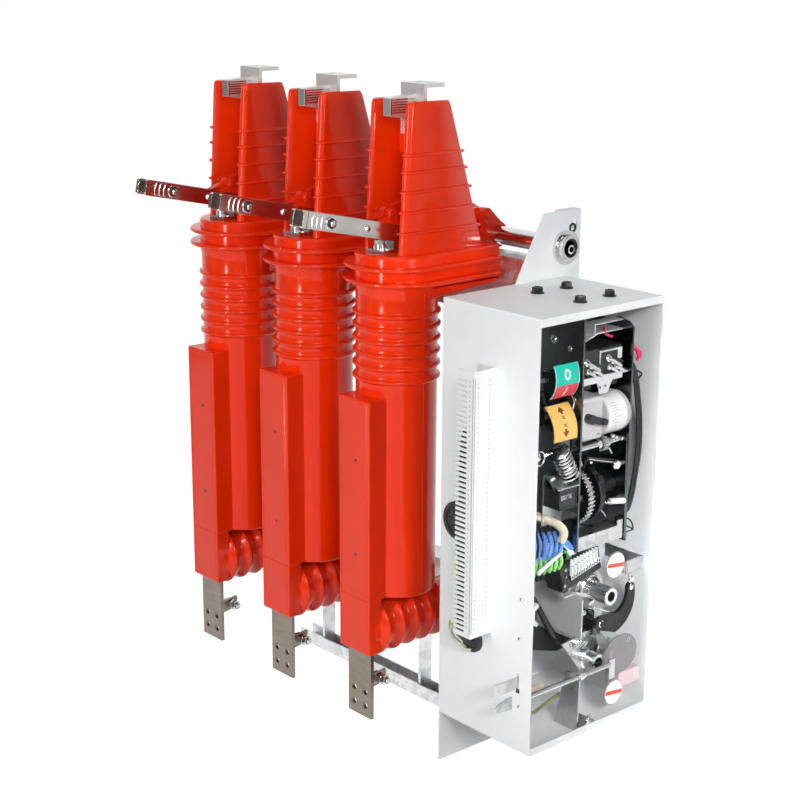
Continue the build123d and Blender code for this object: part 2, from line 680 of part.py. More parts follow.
def charging_lever():
    """Hand lever on the face of the gearbox."""
    x0 = -MOTOR_SET + GEARBOX[0] / 2 - 11
    y, z = LEFT_FACE + 18, -MOTOR_DROP + 6
    lever = rod_x(x0, x0 + 12, y, z, 7)
    tip_y, tip_z = polar(y, z, 26, -17)
    lever += rod_x(x0 + 6, x0 + 15, tip_y, tip_z, 5)
    lever += slab_x([polar(y, z, 6, 73), polar(y, z, 6, 253), polar(tip_y, tip_z, 5, 253),
                     polar(tip_y, tip_z, 5, 73)], x0 + 6, x0 + 12)
    return lever


def toothed(radius, teeth, height, width):
    """A spur gear blank along Y with straight-sided teeth."""
    pitch = 360 / teeth
    points = []
    for i in range(teeth):
        for share, r in ((-0.28, radius - height), (-0.14, radius), (0.14, radius), (0.28, radius - height)):
            points.append(polar(0, 0, r, (i + share) * pitch))
    return slab_y(points, 0, width)


def coil(radius, wire, turns, length):
    """A close-wound spring along Z, as a ringed sleeve."""
    step = length / turns
    inner = radius - 1.6 * wire
    profile = [(inner, 0), (radius - wire, 0)]
    for i in range(turns):
        profile += [(radius, (i + 0.35) * step), (radius, (i + 0.65) * step), (radius - wire, (i + 1) * step)]
    profile += [(inner, length)]
    face = make_face(Polyline(*[(r, 0, z) for r, z in profile], close=True))
    return revolve(face, Axis.Z, 360)


def springs():
    """The inclined return spring beside the left plate, and the one under the operating socket."""
    tilt = 30
    foot = (-22.0, LEFT_PLATE - 14, -COUNTER_DROP + 24)
    slope = Pos(*foot) * Rot(tilt, 0, 0) * coil(12.5, 3.2, 8, 42)
    top_y, top_z = polar(foot[1], foot[2], 37, 90 + tilt)
    slope += rod_y(foot[0], top_y, LEFT_PLATE, top_z, 3)
    slope += rod_y(foot[0], top_y - 18, top_y + 1, top_z, 8.6)
    lower = Pos(-42, 147, -SOCKET_DROP - 59) * coil(8.0, 2.2, 7, 30)
    return Compound(children=[slope, lower])


def charging_gear():
    z = -CAM_DROP
    y0 = LEFT_FACE + 12
    gear = Pos(-CAM_SET, y0, z) * toothed(GEAR_R, GEAR_TEETH, TOOTH_H, GEAR_T)
    gear -= rod_y(-CAM_SET, y0 - EPS, y0 + GEAR_T + EPS, z, CAM_SHAFT_R + 0.01)
    for k in range(5):
        x, hz = polar(-CAM_SET, z, GEAR_R * 0.6, 72 * k)
        gear -= rod_y(x, y0 - EPS, y0 + GEAR_T + EPS, hz, 7)
    return gear


def cam_disc():
    """Dark cam with a raised stop nose on its rim, on the shaft that carries the gear too."""
    z = -CAM_DROP
    y0 = LEFT_FACE + 40
    cam = rod_y(-CAM_SET, y0, y0 + 10, z, CAM_R)
    nose_x, nose_z = polar(-CAM_SET, z, CAM_R - 4, 40)
    cam += rod_y(nose_x, y0, y0 + 10, nose_z, 8)
    return cam + rod_y(-CAM_SET, LEFT_FACE, RIGHT_PLATE - FRAME_PLATE_T, z, CAM_SHAFT_R)


def ratchet_shaft():
    x, z = -RATCHET_SET, -RATCHET_DROP
    shaft = rod_y(x, LEFT_FACE, RIGHT_PLATE - FRAME_PLATE_T, z, RATCHET_ROD_R)
    shaft += Pos(x, LEFT_FACE + 58, z) * toothed(RATCHET_R, RATCHET_TEETH, 2.2, 9)
    return shaft + rod_y(x, LEFT_FACE + 67, LEFT_FACE + 74, z, 8)


def cross_channel():
    """Galvanised channel below the cam, with a tab at each end."""
    z1 = -CHANNEL_DROP
    z0 = z1 - CHANNEL_H
    x1 = FRAME_FRONT
    y0, y1 = LEFT_FACE, LEFT_FACE + CHANNEL_W
    bar = box(x1 - CHANNEL_D, x1, y0, y1, z0, z1)
    bar -= box(x1 - CHANNEL_D - EPS, x1 - 2, y0 + 2, y1 - 2, z0 - EPS, z1 - 2)
    bar += box(x1 - 2, x1, y1 - 12, y1, z1 - 1, z1 + 8)
    return bar


def auxiliary_switch():
    """Black switch body under the plates, tilted, with stepped terminal decks."""
    body = box(-62, -20, 0, 78, -34, 0)
    body += box(-52, -20, 6, 72, -1, 9)
    body = Pos(0, SWITCH_Y, -FRAME_PLATE_H - 24) * Rot(SWITCH_TILT, 0, 0) * body
    return body + box(-62, -20, LEFT_PLATE, LEFT_FACE, -FRAME_PLATE_H - 21, -FRAME_PLATE_H)


def socket_plate():
    """Hat-shaped bracket on the mounting plate that carries the operating socket."""
    x1 = -65
    y0, y1 = LEFT_FACE + 17, RIGHT_PLATE + 8
    z0, z1 = -SOCKET_DROP - 64, -SOCKET_DROP + 60
    skin = 3
    plate = box(x1 - skin, x1, y0, y1, z0, z1)
    plate += box(BACK, x1, y0, y0 + skin, z0, z1 - 55) + box(BACK, x1, y1 - skin, y1, z0, z1 - 55)
    plate += box(x1, x1 + 33, y0 + 17, y0 + 25, z0 + 35, z0 + 41)
    return plate


def hex_bar(x0, x1, y, z, r):
    points = [polar(y, z, r, 60 * k + 10) for k in range(6)]
    return slab_x(points, x0, x1)


def operating_sockets():
    """Two hexagonal drive sockets: the upper one on a round flange, the lower one behind its cover."""
    y, z = SOCKET_Y, -SOCKET_DROP
    upper = rod_x(-65, -55, y, z, SOCKET_FLANGE_R) + rod_x(-55, -50, y, z, SOCKET_R + 6)
    upper += hex_bar(-50, -8, y, z, SOCKET_R)
    upper -= rod_x(-24, 0, y, z, SOCKET_R - 6)
    y, z = LOWER_SOCKET_Y, -LOWER_SOCKET_DROP
    lower = hex_bar(BACK, -14, y, z, SOCKET_R) + rod_x(-48, -44, y, z, SOCKET_R + 3)
    return Compound(children=[upper, lower])


def interlock_lever():
    """Dark curved lever on a pin from the socket plate."""
    x0, x1 = -16, -10
    y, z = SOCKET_Y - 19, -SOCKET_DROP - 40
    top = (SOCKET_Y + 48, -SOCKET_DROP + 3)
    outer = ThreePointArc((0, top[0] + 8, top[1]), (0, top[0] + 1, top[1] - 42), (0, top[0] - 34, top[1] - 66))
    belly = Line((0, top[0] - 34, top[1] - 66), (0, y, z - 11))
    heel = Line((0, y, z - 11), (0, y, z + 11))
    lid = Line((0, y, z + 11), (0, top[0] - 36, top[1] - 35))
    inner = ThreePointArc((0, top[0] - 36, top[1] - 35), (0, top[0] - 15, top[1] - 24), (0, top[0] - 8, top[1]))
    cap = Line((0, top[0] - 8, top[1]), (0, top[0] + 8, top[1]))
    face = make_face(Wire([outer, belly, heel, lid, inner, cap]))
    lever = Pos(x0, 0, 0) * extrude(face, amount=x1 - x0, dir=(1, 0, 0))
    lever += rod_x(x0, x1, y, z, 11) + rod_x(x0, x1, top[0], top[1], 8)
    return lever + rod_x(-65, x1 + 3, y, z, 4.5)


def disc_bracket():
    """Angle on the right wall that holds the upper indicator disc."""
    y, z = UPPER_DISC[0], -UPPER_DISC[1]
    plate = box(-16, -14, y + 9, RIGHT_WALL, z - 22, z - 2)
    return plate + box(-90, -14, RIGHT_WALL - 2, RIGHT_WALL, z - 22, z - 2)


def indicator_discs():
    upper = rod_x(-14, -14 + DISC_T, UPPER_DISC[0], -UPPER_DISC[1], DISC_R)
    lower = rod_x(-6, -6 + DISC_T, LOWER_DISC[0], -LOWER_DISC[1], DISC_R)
    return Compound(children=[fillet(d.edges(), 0.8) for d in (upper, lower)])


def interlock_plate():
    """Side plate of the lower unit with a folded top, on the mounting plate."""
    y0 = LEFT_FACE + 12
    z1 = -SOCKET_DROP + 14
    outline = [(BACK, z1 - 70), (-14, z1 - 70), (-14, z1 - 6), (-30, z1), (BACK, z1)]
    plate = slab_y(outline, y0, y0 + 2.5)
    plate += box(BACK, -30, y0 - 22, y0 + 1, z1 - 2.5, z1)
    return plate - rod_y(-97, y0 - EPS, y0 + 4, z1 - 47, 5)


def guide_plate():
    """Sloping plate across the lower unit with the lock barrel on it and a leg to the mounting plate."""
    z = -LOWER_SOCKET_DROP
    outline = [(105, z + 36), (157, z + 44), (190, z + 40), (190, z - 25), (150, z - 22)]
    plate = slab_x(outline, -40, -37)
    plate += box(BACK, -38, 187, 190, z - 25, z + 40)
    plate += rod_x(-38, -14, 163, z - 3, SOCKET_R)
    return plate - rod_x(-24, 0, 163, z - 3, SOCKET_R - 5)


def guard_disc():
    """Smoke-grey cover over the lower socket, longer than it is high."""
    y, z = LOWER_SOCKET_Y, -LOWER_SOCKET_DROP
    shift = 6
    x0, x1 = -14, -14 + GUARD_T
    disc = rod_x(x0, x1, y - shift, z, GUARD_R) + rod_x(x0, x1, y + shift, z, GUARD_R)
    disc += box(x0, x1, y - shift, y + shift, z - GUARD_R, z + GUARD_R)
    return disc - rod_x(x0 - EPS, x1 + EPS, y + 16, z + 19, 2.5)


def interlock_rod():
    """Rod from the left wall to the link that carries the lower disc."""
    x, z = -ROD_SET, -ROD_DROP
    end = LOWER_DISC[0] - 8
    rod = rod_y(x, SHEET, end, z, ROD_R)
    low = -LOWER_DISC[1]
    rod += box(-10, -6, end - 1, end + 12, low - 4, z + 7)
    # arm and tongue that reach out through the left wall
    back, reach, height, thick = TONGUE
    x0 = back - BOX_D
    low = z + 8
    rod += box(x0, x + 1, SHEET + 1, SHEET + 4, z - 3, low + height)
    return rod + box(x0, x0 + thick, -reach, SHEET + 4, low, low + height)


def stand_bracket():
    """Tapered upright on a foot, with an eye for the rod."""
    x1 = -9.0
    z, top = FLOOR, -ROD_DROP
    upright = slab_y([(x1 - STAND_W, z), (x1, z), (-ROD_SET, top - 5), (-ROD_SET, top), (x1 - 26, top)],
                     STAND_Y, STAND_Y + 2.5)
    upright += rod_y(-ROD_SET, STAND_Y, STAND_Y + 2.5, top, ROD_R + 2.4)
    upright += box(x1 - STAND_W, x1, STAND_Y, STAND_Y + 47, z, z + 2.5)
    return upright - rod_y(-ROD_SET, STAND_Y - EPS, STAND_Y + 4, top, ROD_R + 0.3)


def lock_block():
    z1 = -LOWER_SOCKET_DROP - GUARD_R - 3
    block = box(-40, -13, RIGHT_WALL - 48, RIGHT_WALL, z1 - 26, z1)
    return fillet(block.edges().filter_by(Axis.X), 3)


# on the housing's left face
def wire_duct():
    """Slotted duct on its side: plain back towards the open front, fingers that point the other way."""
    x0 = BOX_X0 + DUCT_X
    x1 = x0 + DUCT_W
    z1 = BOX_Z1 - DUCT_DROP
    z0 = z1 - DUCT_H
    y0 = BOX_Y0 - DUCT_OUT
    duct = box(x0, x1, y0, BOX_Y0, z0, z1)
    duct -= box(x0 - EPS, x1 - DUCT_WALL, y0 + DUCT_WALL, BOX_Y0 - DUCT_WALL, z0 - EPS, z1 + EPS)
    slots = int((DUCT_H - 2 * FINGER_PITCH) / FINGER_PITCH)
    for i in range(slots):
        z = z0 + FINGER_PITCH * (i + 1)
        duct -= box(x0 - EPS, x1 - DUCT_SPINE, y0 - EPS, y0 + DUCT_WALL + EPS, z, z + FINGER_GAP)
    return duct


def glands():
    """Rubber grommets where wires pass through the left face."""
    group = []
    for x, drop, r in GLANDS:
        x += BOX_X0
        z = BOX_Z1 - drop
        ring = rod_y(x, BOX_Y0 - GLAND_OUT, BOX_Y0, z, r)
        ring -= rod_y(x, BOX_Y0 - GLAND_OUT - EPS, BOX_Y0 + EPS, z, r - GLAND_WALL)
        group.append(fillet(ring.edges().sort_by(Axis.Y)[0:2], 1.5))
    return Compound(children=group)


put("mounting_plate", mounting_plate())
put("shaft_bearing", bearing())
put("housing", housing())
epoxy = pole()
for n, x in zip(POLE_NAMES, POLE_X):
    put("pole_" + n, Pos(x, 0, 0) * epoxy)
    put("lower_terminal_" + n, Pos(x, 0, 0) * lower_terminal())
    put("top_contact_" + n, Pos(x, 0, 0) * top_contact())
    put("blade_base_" + n, Pos(x, 0, 0) * blade_base())
    put("blade_" + n, Pos(x, 0, 0) * blade())
    put("drive_link_" + n, Pos(x, 0, 0) * link())
    put("crank_" + n, Pos(x, 0, 0) * crank())
put("isolator_shaft", isolator_shaft())
put("upper_beam", upper_beam())
put("insulator_rail", insulator_rail())
put("bottom_channel", bottom_channel())
put("frame_leg_near", leg(-LEG_X[0], -LEG_X[0] + LEG_T))
put("frame_leg_far", leg(-LEG_X[1], -LEG_X[1] + LEG_T))
put("frame_post", leg(SEAT_STEP - FRAME_T, SEAT_STEP))
put("wire_duct", wire_duct())
put("glands", glands())
put("mechanism_plate_left", in_box(left_plate()))
put("mechanism_plate_right", in_box(right_plate()))
put("position_flag", in_box(flag(O_FLAG_R, O_FLAG_DROP, 31, -44)))
put("charge_flag", in_box(flag(CHARGE_FLAG_R, CHARGE_FLAG_DROP, 54, -9)))
put("counter", in_box(counter()))
put("counter_bracket", in_box(counter_bracket()))
put("relay_bracket", in_box(relay_bracket()))
put("relays", in_box(relays()))
put("charging_motor", in_box(charging_motor()))
put("charging_lever", in_box(charging_lever()))
put("springs", in_box(springs()))
put("charging_gear", in_box(charging_gear()))
put("cam_disc", in_box(cam_disc()))
put("ratchet_shaft", in_box(ratchet_shaft()))
put("cross_channel", in_box(cross_channel()))
put("auxiliary_switch", in_box(auxiliary_switch()))
put("socket_plate", in_box(socket_plate()))
put("operating_sockets", in_box(operating_sockets()))
put("interlock_lever", in_box(interlock_lever()))
put("disc_bracket", in_box(disc_bracket()))
put("indicator_discs", in_box(indicator_discs()))
put("interlock_plate", in_box(interlock_plate()))
put("guide_plate", in_box(guide_plate()))
put("guard_disc", in_box(guard_disc()))
put("interlock_rod", in_box(interlock_rod()))
put("stand_bracket", in_box(stand_bracket()))
put("lock_block", in_box(lock_block()))

for name, shape in NODES.items():
    shape.label = name
    export_step(shape, "parts/" + name + ".step")
print(len(NODES), "nodes")
bounds = Compound(children=list(NODES.values())).bounding_box()
print("bounds", bounds.min, bounds.max)
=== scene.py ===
from math import cos, pi, radians, sin
import bpy
from mathutils import Matrix, Vector

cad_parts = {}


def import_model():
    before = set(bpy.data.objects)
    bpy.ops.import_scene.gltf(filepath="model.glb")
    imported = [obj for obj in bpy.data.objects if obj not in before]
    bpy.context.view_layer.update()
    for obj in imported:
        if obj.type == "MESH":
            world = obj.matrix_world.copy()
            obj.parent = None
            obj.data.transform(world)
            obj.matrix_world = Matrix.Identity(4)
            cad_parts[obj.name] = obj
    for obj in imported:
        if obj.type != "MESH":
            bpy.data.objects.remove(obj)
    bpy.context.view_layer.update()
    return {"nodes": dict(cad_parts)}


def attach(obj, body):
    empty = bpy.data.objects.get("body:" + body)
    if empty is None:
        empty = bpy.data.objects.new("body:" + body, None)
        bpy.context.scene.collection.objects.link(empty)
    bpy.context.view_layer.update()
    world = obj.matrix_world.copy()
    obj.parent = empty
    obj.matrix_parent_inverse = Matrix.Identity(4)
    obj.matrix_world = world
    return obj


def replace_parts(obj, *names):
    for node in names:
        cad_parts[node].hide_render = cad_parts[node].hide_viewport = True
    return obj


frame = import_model()
nodes = frame["nodes"]

# Directions, and places of the part in mm
X, Y, Z, FRONT = (1, 0, 0), (0, 1, 0), (0, 0, 1), (0, -1, 0)
POLES = {"a": -585.0, "b": -375.0, "c": -165.0}
POLE_Y, POLE_FRONT, POLE_BACK, POLE_TOP, POLE_FOOT = -222.0, -310.0, -65.0, 416.0, -140.0
SHAFT = Vector((0, -22.0, 421.0))
PIVOT = Vector((0, -222.0, 443.0))
ARM = Vector((0, cos(radians(124)), sin(radians(124)))) * 42     # from pivot or shaft to the link's pin
OPEN = radians(180 - 12.4)
ALONG = Vector((0, cos(OPEN), sin(OPEN)))                        # from the pivot to the blade's tip
UNDER = Vector((0, -sin(OPEN), cos(OPEN)))                       # square to the blade, downwards
LEFT, ROOF = -275.0, 375.0                                       # left wall and roof of the housing


# Materials
def emptied(data, kind):
    """The cleared node tree of a material or world, and the surface socket of its new output."""
    data.use_nodes = True
    t = data.node_tree
    t.nodes.clear()
    return t, node(t, "Output" + kind).inputs["Surface"]


def new_mat(name):
    m = bpy.data.materials.new(name)
    t, out = emptied(m, "Material")
    b = node(t, "BsdfPrincipled")
    t.links.new(b.outputs["BSDF"], out)
    return m, t, b


def node(t, kind, **values):
    n = t.nodes.new("ShaderNode" + kind)
    for k, v in values.items():
        n.inputs[k].default_value = v
    return n


def coords(t, scale=(1, 1, 1)):
    c = t.nodes.new("ShaderNodeTexCoord")
    m = node(t, "Mapping", Scale=scale)
    t.links.new(c.outputs["Object"], m.inputs["Vector"])
    return m.outputs["Vector"]


def noise_of(t, vec, scale, detail=3.0, rough=0.55):
    n = node(t, "TexNoise", Scale=scale, Detail=detail, Roughness=rough)
    t.links.new(vec, n.inputs["Vector"])
    return n.outputs["Fac"]


def ramp(t, fac, stops):
    r = t.nodes.new("ShaderNodeValToRGB")
    e = r.color_ramp.elements
    while len(e) < len(stops):
        e.new(0.5)
    for el, (p, c) in zip(e, stops):
        el.position = p
        el.color = (*c, 1)
    t.links.new(fac, r.inputs["Fac"])
    return r.outputs["Color"]


def span(t, fac, lo, hi, from_lo=0.0, from_hi=1.0):
    r = node(t, "MapRange", **{"From Min": from_lo, "From Max": from_hi, "To Min": lo, "To Max": hi})
    t.links.new(fac, r.inputs["Value"])
    return r.outputs["Result"]


def bump(t, b, height, strength, distance):
    n = node(t, "Bump", Strength=strength, Distance=distance)
    t.links.new(height, n.inputs["Height"])
    t.links.new(n.outputs["Normal"], b.inputs["Normal"])
    return n


def rounded(t, b, radius, after=None):
    """Softens sharp edges of the piece in its shading."""
    n = node(t, "Bevel", Radius=radius)
    n.samples = 4
    t.links.new(n.outputs["Normal"], (after or b).inputs["Normal"])


def surface(name, color, vary=0.06, rough=(0.3, 0.45), metallic=0.0, scale=40.0, coat=0.0,
            grain=0.0, grain_scale=900.0, stretch=(1, 1, 1), edge=0.0, spec=0.5):
    """A finish whose colour, gloss and relief vary by noise."""
    m, t, b = new_mat(name)
    vec = coords(t, stretch)
    dark, light = [[min(1.0, c * part) for c in color] for part in (1 - vary, 1 + vary)]
    t.links.new(ramp(t, noise_of(t, vec, scale), [(0.3, dark), (0.7, light)]), b.inputs["Base Color"])
    t.links.new(span(t, noise_of(t, vec, scale * 2.3), *rough), b.inputs["Roughness"])
    b.inputs["Metallic"].default_value = metallic
    b.inputs["Coat Weight"].default_value = coat
    b.inputs["Coat Roughness"].default_value = 0.05
    b.inputs["Specular IOR Level"].default_value = spec
    relief = bump(t, b, noise_of(t, vec, grain_scale, 4.0), grain, 0.0004) if grain else None
    if edge:
        rounded(t, b, edge, relief)
    return m


def spangled(name, dark, light, scale=70.0, rough=(0.22, 0.42), edge=0.0004):
    """Zinc with its crystal pattern."""
    m, t, b = new_mat(name)
    vec = coords(t)
    crystals = node(t, "TexVoronoi", Scale=scale, Randomness=1.0)
    t.links.new(vec, crystals.inputs["Vector"])
    sep = node(t, "SeparateColor")
    t.links.new(crystals.outputs["Color"], sep.inputs["Color"])
    tone = node(t, "Math")
    tone.operation = "MULTIPLY_ADD"
    tone.inputs[1].default_value = 0.6
    t.links.new(sep.outputs["Red"], tone.inputs[0])
    t.links.new(noise_of(t, vec, 12.0), tone.inputs[2])
    t.links.new(ramp(t, tone.outputs["Value"], [(0.3, dark), (0.95, light)]), b.inputs["Base Color"])
    t.links.new(span(t, sep.outputs["Green"], *rough), b.inputs["Roughness"])
    b.inputs["Metallic"].default_value = 1.0
    rounded(t, b, edge, bump(t, b, sep.outputs["Blue"], 0.06, 0.0005))
    return m


RED = surface("epoxy", (0.92, 0.037, 0.002), 0.04, (0.15, 0.24), scale=14.0, coat=0.25,
              grain=0.03, grain_scale=160.0, spec=0.15)
RED_LINK = surface("epoxy_link", (0.8, 0.03, 0.003), 0.05, (0.2, 0.3), scale=20.0, spec=0.3, edge=0.0012)
BLADE = surface("blade_plate", (0.68, 0.64, 0.6), 0.08, (0.12, 0.24), 1.0, scale=18.0, grain=0.03,
                stretch=(6, 1, 4))
STEEL = surface("steel", (0.6, 0.6, 0.6), 0.08, (0.16, 0.3), 1.0, scale=90.0, grain=0.05, edge=0.0004)
CHROME = surface("chrome", (0.7, 0.7, 0.71), 0.04, (0.08, 0.16), 1.0, scale=60.0)
ZINC = spangled("zinc_sheet", (0.42, 0.43, 0.44), (0.66, 0.68, 0.69), edge=0.0004)
ZINC_DARK = surface("zinc_shaded", (0.16, 0.18, 0.18), 0.25, (0.14, 0.26), 1.0, scale=16.0, grain=0.05,
                    grain_scale=500.0, edge=0.0004)
ZINC_PALE = surface("zinc_pale", (0.66, 0.68, 0.69), 0.07, (0.3, 0.44), 0.45, scale=20.0, grain=0.05,
                    grain_scale=600.0, edge=0.0005)
SILVER = surface("silvered_contact", (0.8, 0.785, 0.77), 0.05, (0.26, 0.36), 0.6, scale=24.0,
                 grain=0.03, stretch=(1, 1, 6))
BRONZE = surface("strip_metal", (0.22, 0.19, 0.16), 0.12, (0.16, 0.3), 1.0, scale=24.0,
                 grain=0.05, stretch=(1, 1, 5))
ZINC_BEAM = spangled("zinc_beam", (0.50, 0.51, 0.52), (0.72, 0.74, 0.75), 90.0, (0.3, 0.5), edge=0.0005)
WHITE = surface("white_powder", (0.85, 0.87, 0.885), 0.015, (0.38, 0.5), scale=30.0,
                grain=0.12, grain_scale=1400.0, edge=0.0009)
WHITE_PL = surface("white_moulding", (0.82, 0.84, 0.84), 0.02, (0.35, 0.5), scale=30.0, edge=0.0006)
BLACK = surface("black_moulding", (0.016, 0.016, 0.018), 0.3, (0.3, 0.5), scale=80.0, grain=0.1, edge=0.0006)
BLACK_STEEL = surface("black_steel", (0.03, 0.03, 0.033), 0.3, (0.22, 0.4), 0.7, scale=60.0, edge=0.0005)
GREY = surface("grey_enamel", (0.5, 0.485, 0.49), 0.03, (0.3, 0.42), scale=50.0, grain=0.08, edge=0.001)
TEAL = surface("teal_print", (0.0, 0.52, 0.4), 0.05, (0.3, 0.4), scale=60.0)
YELLOW = surface("yellow_print", (0.82, 0.49, 0.14), 0.05, (0.3, 0.4), scale=60.0)
PINK = surface("pink_moulding", (0.66, 0.52, 0.55), 0.05, (0.4, 0.5), scale=60.0, edge=0.0008)
SMOKE = surface("smoke_moulding", (0.22, 0.21, 0.225), 0.04, (0.26, 0.34), scale=20.0, edge=0.0008)
DISC = surface("disc_print", (0.8, 0.8, 0.79), 0.02, (0.35, 0.45), scale=60.0, edge=0.0006)
RUBBER = surface("rubber", (0.018, 0.018, 0.018), 0.25, (0.55, 0.7), scale=90.0, edge=0.0008)

FINISH = {
    "housing": WHITE, "mounting_plate": WHITE, "shaft_bearing": CHROME, "isolator_shaft": CHROME,
    "upper_beam": ZINC_BEAM, "insulator_rail": ZINC_BEAM, "bottom_channel": ZINC_BEAM,
    "frame_leg_near": ZINC_BEAM, "frame_leg_far": ZINC_BEAM, "frame_post": ZINC_BEAM,
    "wire_duct": WHITE_PL, "glands": RUBBER, "mechanism_plate_left": ZINC_DARK,
    "mechanism_plate_right": ZINC_DARK,
    "position_flag": TEAL, "charge_flag": YELLOW, "counter": BLACK, "counter_bracket": ZINC,
    "relay_bracket": ZINC_PALE, "relays": BLACK, "charging_motor": GREY, "charging_lever": BLACK,
    "springs": BLACK_STEEL,
    "charging_gear": STEEL, "cam_disc": BLACK_STEEL, "ratchet_shaft": STEEL, "cross_channel": ZINC,
    "auxiliary_switch": BLACK, "socket_plate": ZINC_PALE, "operating_sockets": STEEL,
    "interlock_lever": BLACK_STEEL,
    "disc_bracket": ZINC, "indicator_discs": DISC, "interlock_plate": ZINC_PALE, "guide_plate": ZINC,
    "guard_disc": SMOKE, "interlock_rod": STEEL, "stand_bracket": STEEL, "lock_block": PINK,
}
for k in POLES:
    FINISH["pole_" + k] = RED
    FINISH["lower_terminal_" + k] = BRONZE
    FINISH["top_contact_" + k] = SILVER
    FINISH["blade_base_" + k] = STEEL
    FINISH["blade_" + k] = BLADE
    FINISH["drive_link_" + k] = RED_LINK
    FINISH["crank_" + k] = RED_LINK
for name, mat in FINISH.items():
    mesh = nodes[name].data
    mesh.materials.clear()
    mesh.materials.append(mat)

# Camera, as it stood for the photograph
CAM = Vector((1.77214, -1.91120, 0.88212))
YAW, PITCH, ROLL = radians(48.7778), radians(15.4106), radians(-0.3029)
LENS, SENSOR = 75.19, 36.0
ahead = Vector((-sin(YAW) * cos(PITCH), cos(YAW) * cos(PITCH), -sin(PITCH)))
level = Vector((cos(YAW), sin(YAW), 0))
down = ahead.cross(level)
right, low = level * cos(ROLL) + down * sin(ROLL), down * cos(ROLL) - level * sin(ROLL)
cam_data = bpy.data.cameras.new("camera")
cam_data.sensor_width, cam_data.lens, cam_data.clip_end = SENSOR, LENS, 50
camera = bpy.data.objects.new("camera", cam_data)
camera.matrix_world = Matrix([(right[i], -low[i], -ahead[i], CAM[i]) for i in range(3)] + [(0, 0, 0, 1)])
scene = bpy.context.scene
scene.collection.objects.link(camera)
scene.camera = camera
scene.view_settings.view_transform = "Standard"

# Floor, lamps and world
FLOOR_Z, FLOOR_R, FLOOR_SIDES = -0.46, 3.2, 64


def rays(t, *kinds):
    """1 for a ray of any of these kinds, else 0."""
    path = node(t, "LightPath")
    found = path.outputs[kinds[0]]
    for kind in kinds[1:]:
        either = node(t, "Math")
        either.operation = "MAXIMUM"
        t.links.new(found, either.inputs[0])
        t.links.new(path.outputs[kind], either.inputs[1])
        found = either.outputs[0]
    return found


def shader_mix(t, fac, a, b):
    """Shader a where the factor is 0, shader b where it is 1."""
    mix = node(t, "MixShader")
    for socket, source in zip(mix.inputs, (fac, a.outputs[0], b.outputs[0])):
        t.links.new(source, socket)
    return mix


def floor():
    """A disc that is white to the camera and to mirrors, and keeps the object's shadow."""
    m = bpy.data.materials.new("floor")
    t, out = emptied(m, "Material")
    lit = node(t, "BsdfDiffuse", Color=(0.5, 0.5, 0.5, 1))
    glow = node(t, "Emission", Color=(1, 1, 1, 1), Strength=0.93)
    plain = node(t, "BsdfDiffuse", Color=(0.4, 0.4, 0.4, 1))
    both = node(t, "AddShader")
    t.links.new(lit.outputs[0], both.inputs[0])
    t.links.new(glow.outputs[0], both.inputs[1])
    seen = rays(t, "Is Camera Ray", "Is Glossy Ray", "Is Transmission Ray")
    t.links.new(shader_mix(t, seen, plain, both).outputs[0], out)
    turns = [2 * pi * i / FLOOR_SIDES for i in range(FLOOR_SIDES)]
    mesh = bpy.data.meshes.new("floor")
    mesh.from_pydata([(FLOOR_R * cos(a), FLOOR_R * sin(a), FLOOR_Z) for a in turns], [],
                     [tuple(range(FLOOR_SIDES))])
    mesh.materials.append(m)
    o = bpy.data.objects.new("floor", mesh)
    scene.collection.objects.link(o)


floor()


def lamp(name, pos, target, size, power, color=(1, 1, 1)):
    d = bpy.data.lights.new(name, "AREA")
    d.shape = "RECTANGLE"
    d.size, d.size_y = size
    d.energy = power
    d.color = color
    o = bpy.data.objects.new(name, d)
    o.location = pos
    o.rotation_euler = (Vector(target) - Vector(pos)).to_track_quat("-Z", "Y").to_euler()
    scene.collection.objects.link(o)
    return o


lamp("strip", (0.25, -3.5, 0.75), (-0.2, -0.2, 0.1), (0.38, 1.9), 54, (1, 0.99, 0.975))
lamp("key", (2.75, -2.15, 1.75), (-0.1, -0.2, 0.1), (0.9, 0.9), 32, (0.99, 1, 1))
lamp("side", (2.8, -0.25, 0.75), (-0.15, -0.15, 0.35), (0.5, 0.7), 25)
lamp("top", (-0.2, -0.3, 3.0), (-0.1, -0.1, 0.2), (1.6, 1.0), 15)
lamp("bay", (2.15, -1.1, 1.1), (0.24, -0.05, 0.0), (0.3, 0.5), 0.95).data.spread = radians(17)


def facing(t, view, direction, low, high):
    """Rises from 0 to 1 as the view nears a direction."""
    dot = node(t, "VectorMath")
    dot.operation = "DOT_PRODUCT"
    dot.inputs[1].default_value = direction
    t.links.new(view, dot.inputs[0])
    return span(t, dot.outputs["Value"], 0.0, 1.0, low, high)


def color_mix(t, fac, a, b):
    """Colour a where the factor is 0, the fixed colour b where it is 1."""
    mix = node(t, "Mix")
    mix.data_type = "RGBA"
    t.links.new(fac, mix.inputs["Factor"])
    t.links.new(a, mix.inputs["A"])
    mix.inputs["B"].default_value = b
    return mix.outputs["Result"]


